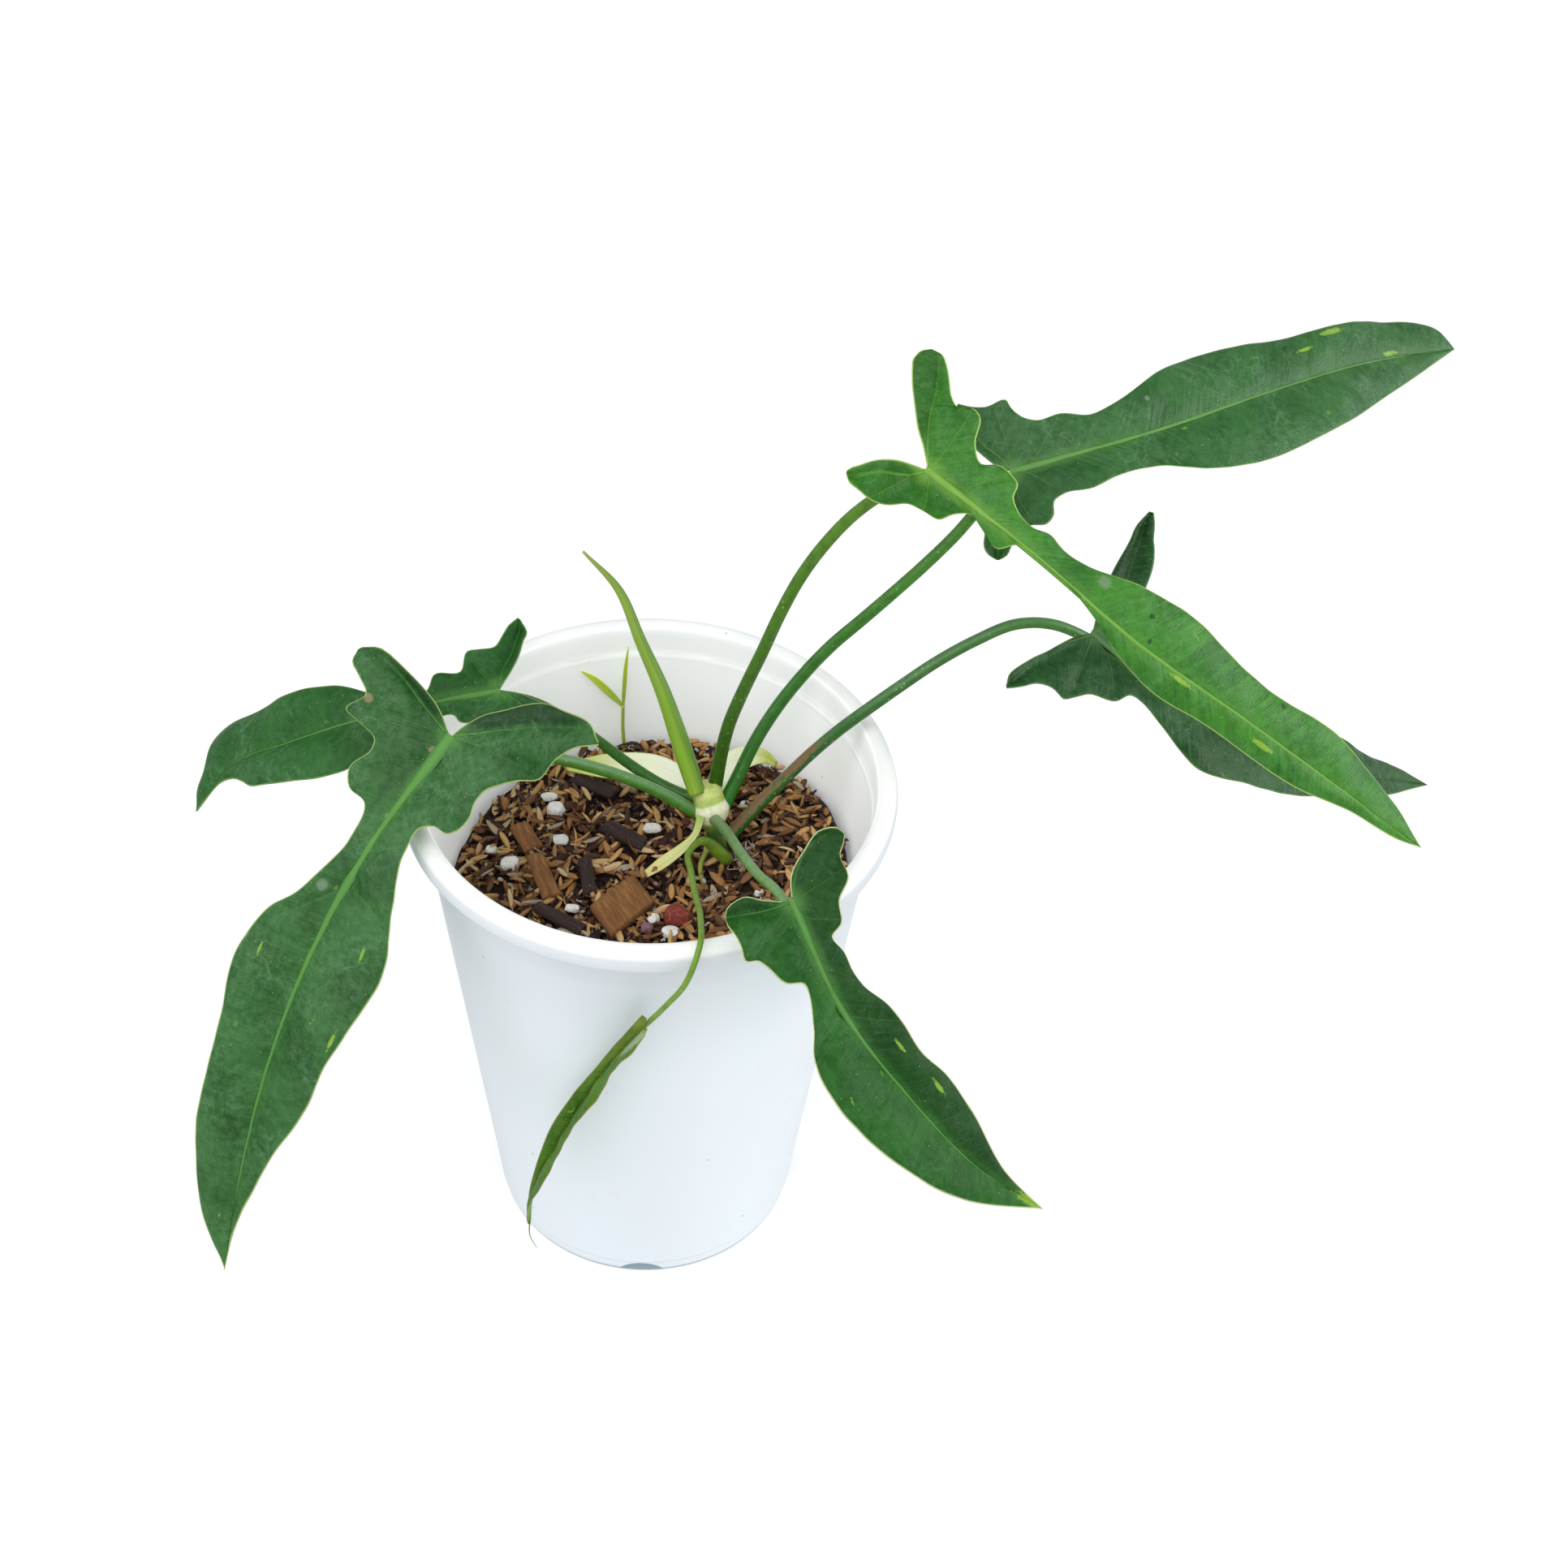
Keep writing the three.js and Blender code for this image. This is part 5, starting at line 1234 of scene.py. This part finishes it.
def fibrous_finish(name, roughness, stretch, noise, stops, strength, dark, depth):
    """Grain along each bit, which has its own tone."""
    finish = Finish(name, roughness=roughness)
    tone, along, across = finish.values("tone")
    fibre = finish.noise(finish.vector(along * stretch[0], across * stretch[1], tone * stretch[2]), 1.0, *noise)
    finish.ramp(tone, *stops)
    finish.over(fibre.between(0.35, 0.7, 0.0, strength), dark)
    finish.relief(fibre, depth)
    return finish


def held_tone(tone, points, width=1.0):
    return np.stack([np.full(len(points), tone), points[:, 0], points[:, 1] / width], axis=-1)


def rice_hulls():
    draw = np.random.default_rng(5)
    keep = [(grain["at"], grain["half"][0] * GRAIN_CLEARANCE) for grain in GRAINS]
    keep += [(np.mean(chip["corners"], axis=0)[:2], chip.get("clear", CHIP_CLEARANCE)) for chip in CHIPS]
    shape = Shape("tone")
    edge = inner_radius(178) - 3.2
    for _ in range(HULLS):
        place = spot(draw, edge)
        length = draw.uniform(*HULL_LENGTH)
        width = length * draw.uniform(*HULL_WIDTH)
        hollow = draw.uniform() < 0.5
        turn = turned(draw, 0.5)
        flip = -1 if draw.uniform() < 0.45 else 1
        shade = 0.3 * math.exp(-math.dist(place, CLUMP) ** 2 / 500)
        tone = np.clip(draw.normal(0.53 - shade, 0.3), 0, 1)
        height = mix_height(*place) + draw.uniform(-2.2, 3.2)
        # No loose hull sits on one of the larger pieces, and those at the wall are shorter
        if any(math.dist(place, middle) < reach for middle, reach in keep):
            continue
        if math.hypot(*place) > edge - 4:
            length *= 0.7
        points, faces = boat(length, width, width * 0.62, hollow)
        shape.add((points * (1, 1, flip)) @ turn.T + (*place, height), faces, tone=held_tone(tone, points, width))
    stops = ((0.0, (58, 36, 24)), (0.25, (116, 76, 42)), (0.5, (170, 120, 66)), (0.75, (212, 168, 106)),
             (0.9, (222, 194, 148)), (1.0, (176, 164, 142)))
    finish = fibrous_finish("hull_husk", 0.72, (0.25, 7.0, 40.0), (3.0, 0.6), stops, 0.45, (110, 68, 36), 0.25)
    shape.piece("rice_hulls", [finish])


def shard(draw, length, width, depth):
    """A rough four-sided splinter with broken ends, lying along x."""
    section = np.array([(-1, -0.6), (1, -0.7), (0.8, 0.7), (-0.9, 0.6)])
    points = []
    for station in np.linspace(-0.5, 0.5, 5):
        shrink = 1 - 0.35 * abs(2 * station) ** 3
        rough = draw.uniform(-0.22, 0.22, (4, 3)) * (0.5, width, depth)
        across, up = (section * (width, depth)).T / 2 * shrink
        points.append(np.stack([np.full(4, station * length), across, up], axis=-1) + rough)
    return np.vstack(points), strip_faces(5, 4, closed=True) + [(3, 2, 1, 0), (16, 17, 18, 19)]


def loose_bits():
    """Bark splinters, fibres and small crumbs between the hulls."""
    draw = np.random.default_rng(23)
    shape = Shape("tone")
    edge = inner_radius(178) - 3.0
    for kind, count in BITS.items():
        for _ in range(count):
            place = spot(draw, edge)
            if kind == "chunk":
                length, width, depth = draw.uniform(8, 16), draw.uniform(3, 5.5), draw.uniform(2, 3.4)
                tone = np.clip(draw.normal(0.3, 0.2), 0, 0.8)
            elif kind == "splinter":
                length, width, depth = draw.uniform(5, 13), draw.uniform(0.9, 2.6), draw.uniform(0.7, 1.8)
                tone = np.clip(draw.normal(0.4, 0.22), 0, 0.9)
            else:
                length, width, depth = draw.uniform(1.2, 3.0), draw.uniform(0.8, 1.8), draw.uniform(0.7, 1.6)
                tone = 1.0 if draw.uniform() < 0.06 else np.clip(draw.normal(0.5, 0.3), 0, 0.9)
            tilt, lift = 0.25, draw.uniform(-0.6, 1.4)
            if kind == "fibre":
                place = draw.normal(CLUMP, 2.4)
                length, width, depth = draw.uniform(3, 8), draw.uniform(0.4, 1.0), draw.uniform(0.3, 0.7)
                tone, tilt, lift = draw.uniform(0.86, 0.97), 0.7, draw.uniform(0.5, 4.0)
            points, faces = shard(draw, length, width, depth)
            held = held_tone(tone, points)
            points = points @ turned(draw, tilt).T + (*place, mix_height(*place) + lift)
            if np.hypot(points[:, 0], points[:, 1]).max() < inner_radius(180) - 0.4:
                shape.add(points, faces, tone=held)
    stops = ((0.0, (34, 20, 18)), (0.4, (72, 40, 32)), (0.65, (104, 62, 44)), (0.85, (150, 96, 56)),
             (1.0, (228, 220, 208)))
    finish = fibrous_finish("bark_bits", 0.8, (0.2, 5.0, 30.0), (4.0, 0.65), stops, 0.5, (46, 30, 26), 0.5)
    shape.piece("bark_bits", [finish])


# Husk chips and bark strips, larger pieces with their own place. corners: x, y and height above the mix.
# clear: how far loose hulls keep from the middle, where it isn't the usual distance.

CHIPS = [
    dict(name="husk_chip_1", thick=4,
         corners=[[-60.6, 26, 2.6], [-53.4, 29.5, 3], [-45.6, 15.6, 3.2], [-52.6, 11.6, 2.8]]),
    dict(name="husk_chip_2", thick=4,
         corners=[[-51.8, 8.6, 3], [-45.2, 10.8, 3.4], [-35.6, -12, 3], [-42.7, -15.2, 2.6]]),
    dict(name="husk_chip_3", thick=5, clear=9,
         corners=[[-22.9, -20.3, 3], [-6.6, -1.7, 3.6], [3.2, -16.5, 4], [-12.6, -36.2, 3.4]]),
    dict(name="bark_strip_1", thick=3.5,
         corners=[[-46.5, -21.7, 2.6], [-43.6, -17.6, 2.8], [-23.4, -29.6, 3], [-26, -34.7, 2.6]]),
    dict(name="bark_strip_2", thick=3.5,
         corners=[[-30.2, 6.9, 2.6], [-24.8, 9, 3], [-21, -11, 3], [-26, -13.8, 2.6]]),
    dict(name="bark_strip_3", thick=3.5,
         corners=[[-22.8, 24.6, 2.4], [-18.5, 29.6, 3.2], [-1.8, 18.8, 3.4], [-4.2, 13.2, 2.6]]),
    dict(name="bark_strip_4", thick=3,
         corners=[[-38.6, 53, 1.6], [-33.3, 57.4, 2], [-15.2, 49.6, 2.4], [-19.6, 43.7, 2]]),
]
CHIP_LIFT = 2.8
CHIP_ROWS = 26
CHIP_COLUMNS = 14


def chip_finish(name, dark, mid, light):
    """Fibres run along the chip, from its first edge to its third."""
    finish = Finish(name, roughness=0.78)
    along, across, depth = finish.values("grain")
    fibre = finish.noise(finish.vector(along * 0.12, across * 2.6, depth * 2.6), 1.0, 5.0, 0.65)
    band = finish.noise(finish.vector(along * 0.05, across * 0.5, depth * 0.5), 1.0, 3.0)
    finish.ramp(fibre * 0.6 + band * 0.4, (0.3, dark), (0.5, mid), (0.7, light))
    finish.relief(fibre, 0.7)
    return finish


def chips():
    draw = np.random.default_rng(41)
    finishes = dict(husk=chip_finish("husk_fibre", (76, 46, 22), (142, 92, 48), (196, 144, 84)),
                    bark=chip_finish("bark_fibre", (24, 16, 15), (52, 34, 31), (92, 64, 54)))
    for chip in CHIPS:
        corners = np.array(chip["corners"], float)
        corners[:, 2] += level(*corners[:, :2].mean(axis=0)) + CHIP_LIFT
        first, second, third, fourth = corners
        length = np.linalg.norm(fourth - first)
        width = np.linalg.norm(second - first)
        bow = draw.uniform(0.1, 0.5)
        points, held = [], []
        for face in (0, 1):
            for i in np.linspace(0, 1, CHIP_ROWS):
                ragged = draw.normal(0, 0.012, CHIP_COLUMNS)
                for j, shift in zip(np.linspace(0, 1, CHIP_COLUMNS), ragged):
                    u = np.clip(i + (shift if i in (0.0, 1.0) else 0), 0.0, 1.0)
                    place = blend(blend(first, second, j), blend(fourth, third, j), u)
                    edge = min(j, 1 - j) * width
                    end = min(u, 1 - u) * length
                    round_off = 0.5 * math.exp(-edge / 0.5) + 0.4 * math.exp(-end / 0.6)
                    groove = 0.22 * math.sin(j * width * 2.1 + 3 * math.sin(i * 2)) + draw.normal(0, 0.05)
                    height = -round_off + groove * (edge > 0.3) - bow * (2 * j - 1) ** 2
                    drop = chip["thick"] + height if face else -height
                    points.append(place - (0, 0, max(drop, 0.05)))
                    held.append((i * length, j * width, face * chip["thick"]))
        shape = Shape("grain")
        shape.add(points, sum(slab_faces(CHIP_ROWS, CHIP_COLUMNS), []), grain=held)
        kind = chip["name"][:4]
        shape.piece(chip["name"] + "_rough", [finishes[kind]], nodes=[chip["name"]])


# Perlite and stones. at: x and y. half: half of each size.

GRAINS = [
    dict(name="red_stone", at=(12.9, -22.1), half=(5.6, 4.1, 3.8)),
    dict(name="violet_stone", at=(1, -29.1), half=(2.6, 2.1, 2.1)),
    dict(name="brown_stone", at=(13.3, 31.5), half=(2, 1.9, 1.8)),
    dict(name="perlite_1", at=(-42.1, 37.3), half=(4.2, 3.4, 3)),
    dict(name="perlite_2", at=(-45.6, 45.3), half=(3.4, 1.7, 1.8)),
    dict(name="perlite_3", at=(-38.2, 20.6), half=(3.3, 2.4, 2.2)),
    dict(name="perlite_4", at=(-58.4, 7.2), half=(3.8, 3.1, 2.9)),
    dict(name="perlite_5", at=(-67.2, 15.8), half=(2.2, 2, 1.8)),
    dict(name="perlite_6", at=(-30.5, -18.5), half=(3, 1.8, 1.6)),
    dict(name="perlite_7", at=(-0.8, 27.5), half=(3.8, 2.2, 2)),
    dict(name="perlite_8", at=(38, 42), half=(2.8, 2.3, 2.1)),
    dict(name="perlite_9", at=(10.8, -31.1), half=(3.3, 2.6, 2.3)),
    dict(name="perlite_10", at=(3.4, -24), half=(2.4, 2.2, 2.1)),
    dict(name="perlite_11", at=(-24, 60), half=(3.8, 1.6, 1.5)),
    dict(name="perlite_12", at=(45.8, -7.8), half=(1.9, 1.7, 1.6)),
]
STONE_COLORS = dict(red_stone=((112, 42, 36), (164, 76, 62)), violet_stone=((110, 70, 82), (158, 118, 126)),
                    brown_stone=((84, 42, 38), (122, 68, 58)))
PIT_STRENGTH = 0.2
KNOBS = 9
DENTS = 14
FLATS = 16


def grain_finish(name, dark, light):
    finish = Finish(name, roughness=0.88)
    here = finish.here()
    grit = finish.noise(here, 520.0, 6.0, 0.7)
    finish.tones(grit.between(0.35, 0.65), dark, light)
    # Pits, painted darker as painted shade in them
    hole = finish.cells(here, 900.0).fading(0.1, 0.35)
    finish.over(hole * PIT_STRENGTH, scaled(dark, 0.75))
    finish.relief(grit + hole * -0.5, 0.6)
    return finish


def near(points, knob, spread):
    return np.exp(-((points - knob) ** 2).sum(-1) / spread)


def grains():
    """Knobbly lumps with dents and a few flat sides."""
    draw = np.random.default_rng(71)
    white = grain_finish("perlite_white", (238, 233, 226), (250, 249, 247))
    work = bmesh.new()
    bmesh.ops.create_icosphere(work, subdivisions=4, radius=1.0)
    ball = np.array([vert.co[:] for vert in work.verts])
    faces = [[vert.index for vert in face.verts] for face in work.faces]
    work.free()
    for grain in GRAINS:
        name, half = grain["name"], grain["half"]
        swell = sum(near(ball, knob, 0.22) for knob in unit(draw.normal(0, 1, (KNOBS, 3))))
        dent = sum(near(ball, knob, 0.05) for knob in unit(draw.normal(0, 1, (DENTS, 3))))
        reach = 1.0 + 0.08 * swell / swell.max() - 0.05 * dent
        for flat in unit(draw.normal(0, 1, (FLATS, 3))):
            reach = np.minimum(reach, 0.8 / np.maximum(ball @ flat, 0.1))
        reach += draw.normal(0, 0.004, len(ball))
        points = np.sign(ball) * np.abs(ball) ** 0.85 * reach[:, None] * half * 1.12
        points[:, 2] = np.maximum(points[:, 2], -0.95 * half[2])
        centre = (*grain["at"], level(*grain["at"]) + half[2] * 0.5 + 1.0)
        shape = Shape()
        shape.add(points + centre, faces)
        stone = name in STONE_COLORS
        finish = grain_finish(name + "_dull", *STONE_COLORS[name]) if stone else white
        shape.piece(name + "_rough", [finish], nodes=[name])


mix_body()
rice_hulls()
loose_bits()
chips()
grains()


# Floor and light, in metres

FLOOR_SIZE = 4
FLOOR_LEVEL = -0.0002
PLANT = (0.05, 0.0, 0.2)


def floor():
    """White floor that glows, with a dark contact shadow under the foot."""
    finish = Finish("floor_white", roughness=0.9, Emission_Strength=0.7, Specular_IOR_Level=0.0)
    shade = finish.length(finish.here()).between((FOOT_RADIUS - 1.4) * MM, (FOOT_RADIUS - 0.6) * MM)
    finish.coat(finish.mix(shade, (0.1, 0.12, 0.15, 1), (0.35, 0.35, 0.35, 1)))
    finish.set("Emission Color", finish.mix(shade, (0.34, 0.44, 0.5, 1), (1, 1, 1, 1)))
    mesh = bpy.data.meshes.new("floor")
    corners = [(x * FLOOR_SIZE, y * FLOOR_SIZE, FLOOR_LEVEL) for x, y in ((-1, -1), (1, -1), (1, 1), (-1, 1))]
    mesh.from_pydata(corners, [], [(0, 1, 2, 3)])
    mesh.materials.append(finish.material)
    made = linked("floor", mesh)
    made.visible_glossy = False


def soft_light(name, place, size, power):
    data = bpy.data.lights.new(name, "AREA")
    data.shape = "DISK"
    data.size = size
    data.energy = power
    made = linked(name, data)
    made.location = place
    made.rotation_euler = (Vector(PLANT) - Vector(place)).to_track_quat("-Z", "Y").to_euler()


floor()
soft_light("key", (2.0, 0.05, 0.74), 1.3, 20)
soft_light("front", (-0.33, -1.25, 2.13), 2.6, 33)
soft_light("left", (-1.7, -0.5, 1.3), 1.2, 8)
world = bpy.data.worlds.new("studio")
world.use_nodes = True
sky = world.node_tree.nodes["Background"].inputs
sky["Color"].default_value = (0.96, 0.98, 1.0, 1)
sky["Strength"].default_value = 0.58
bpy.context.scene.world = world
bpy.context.scene.view_settings.view_transform = "Standard"
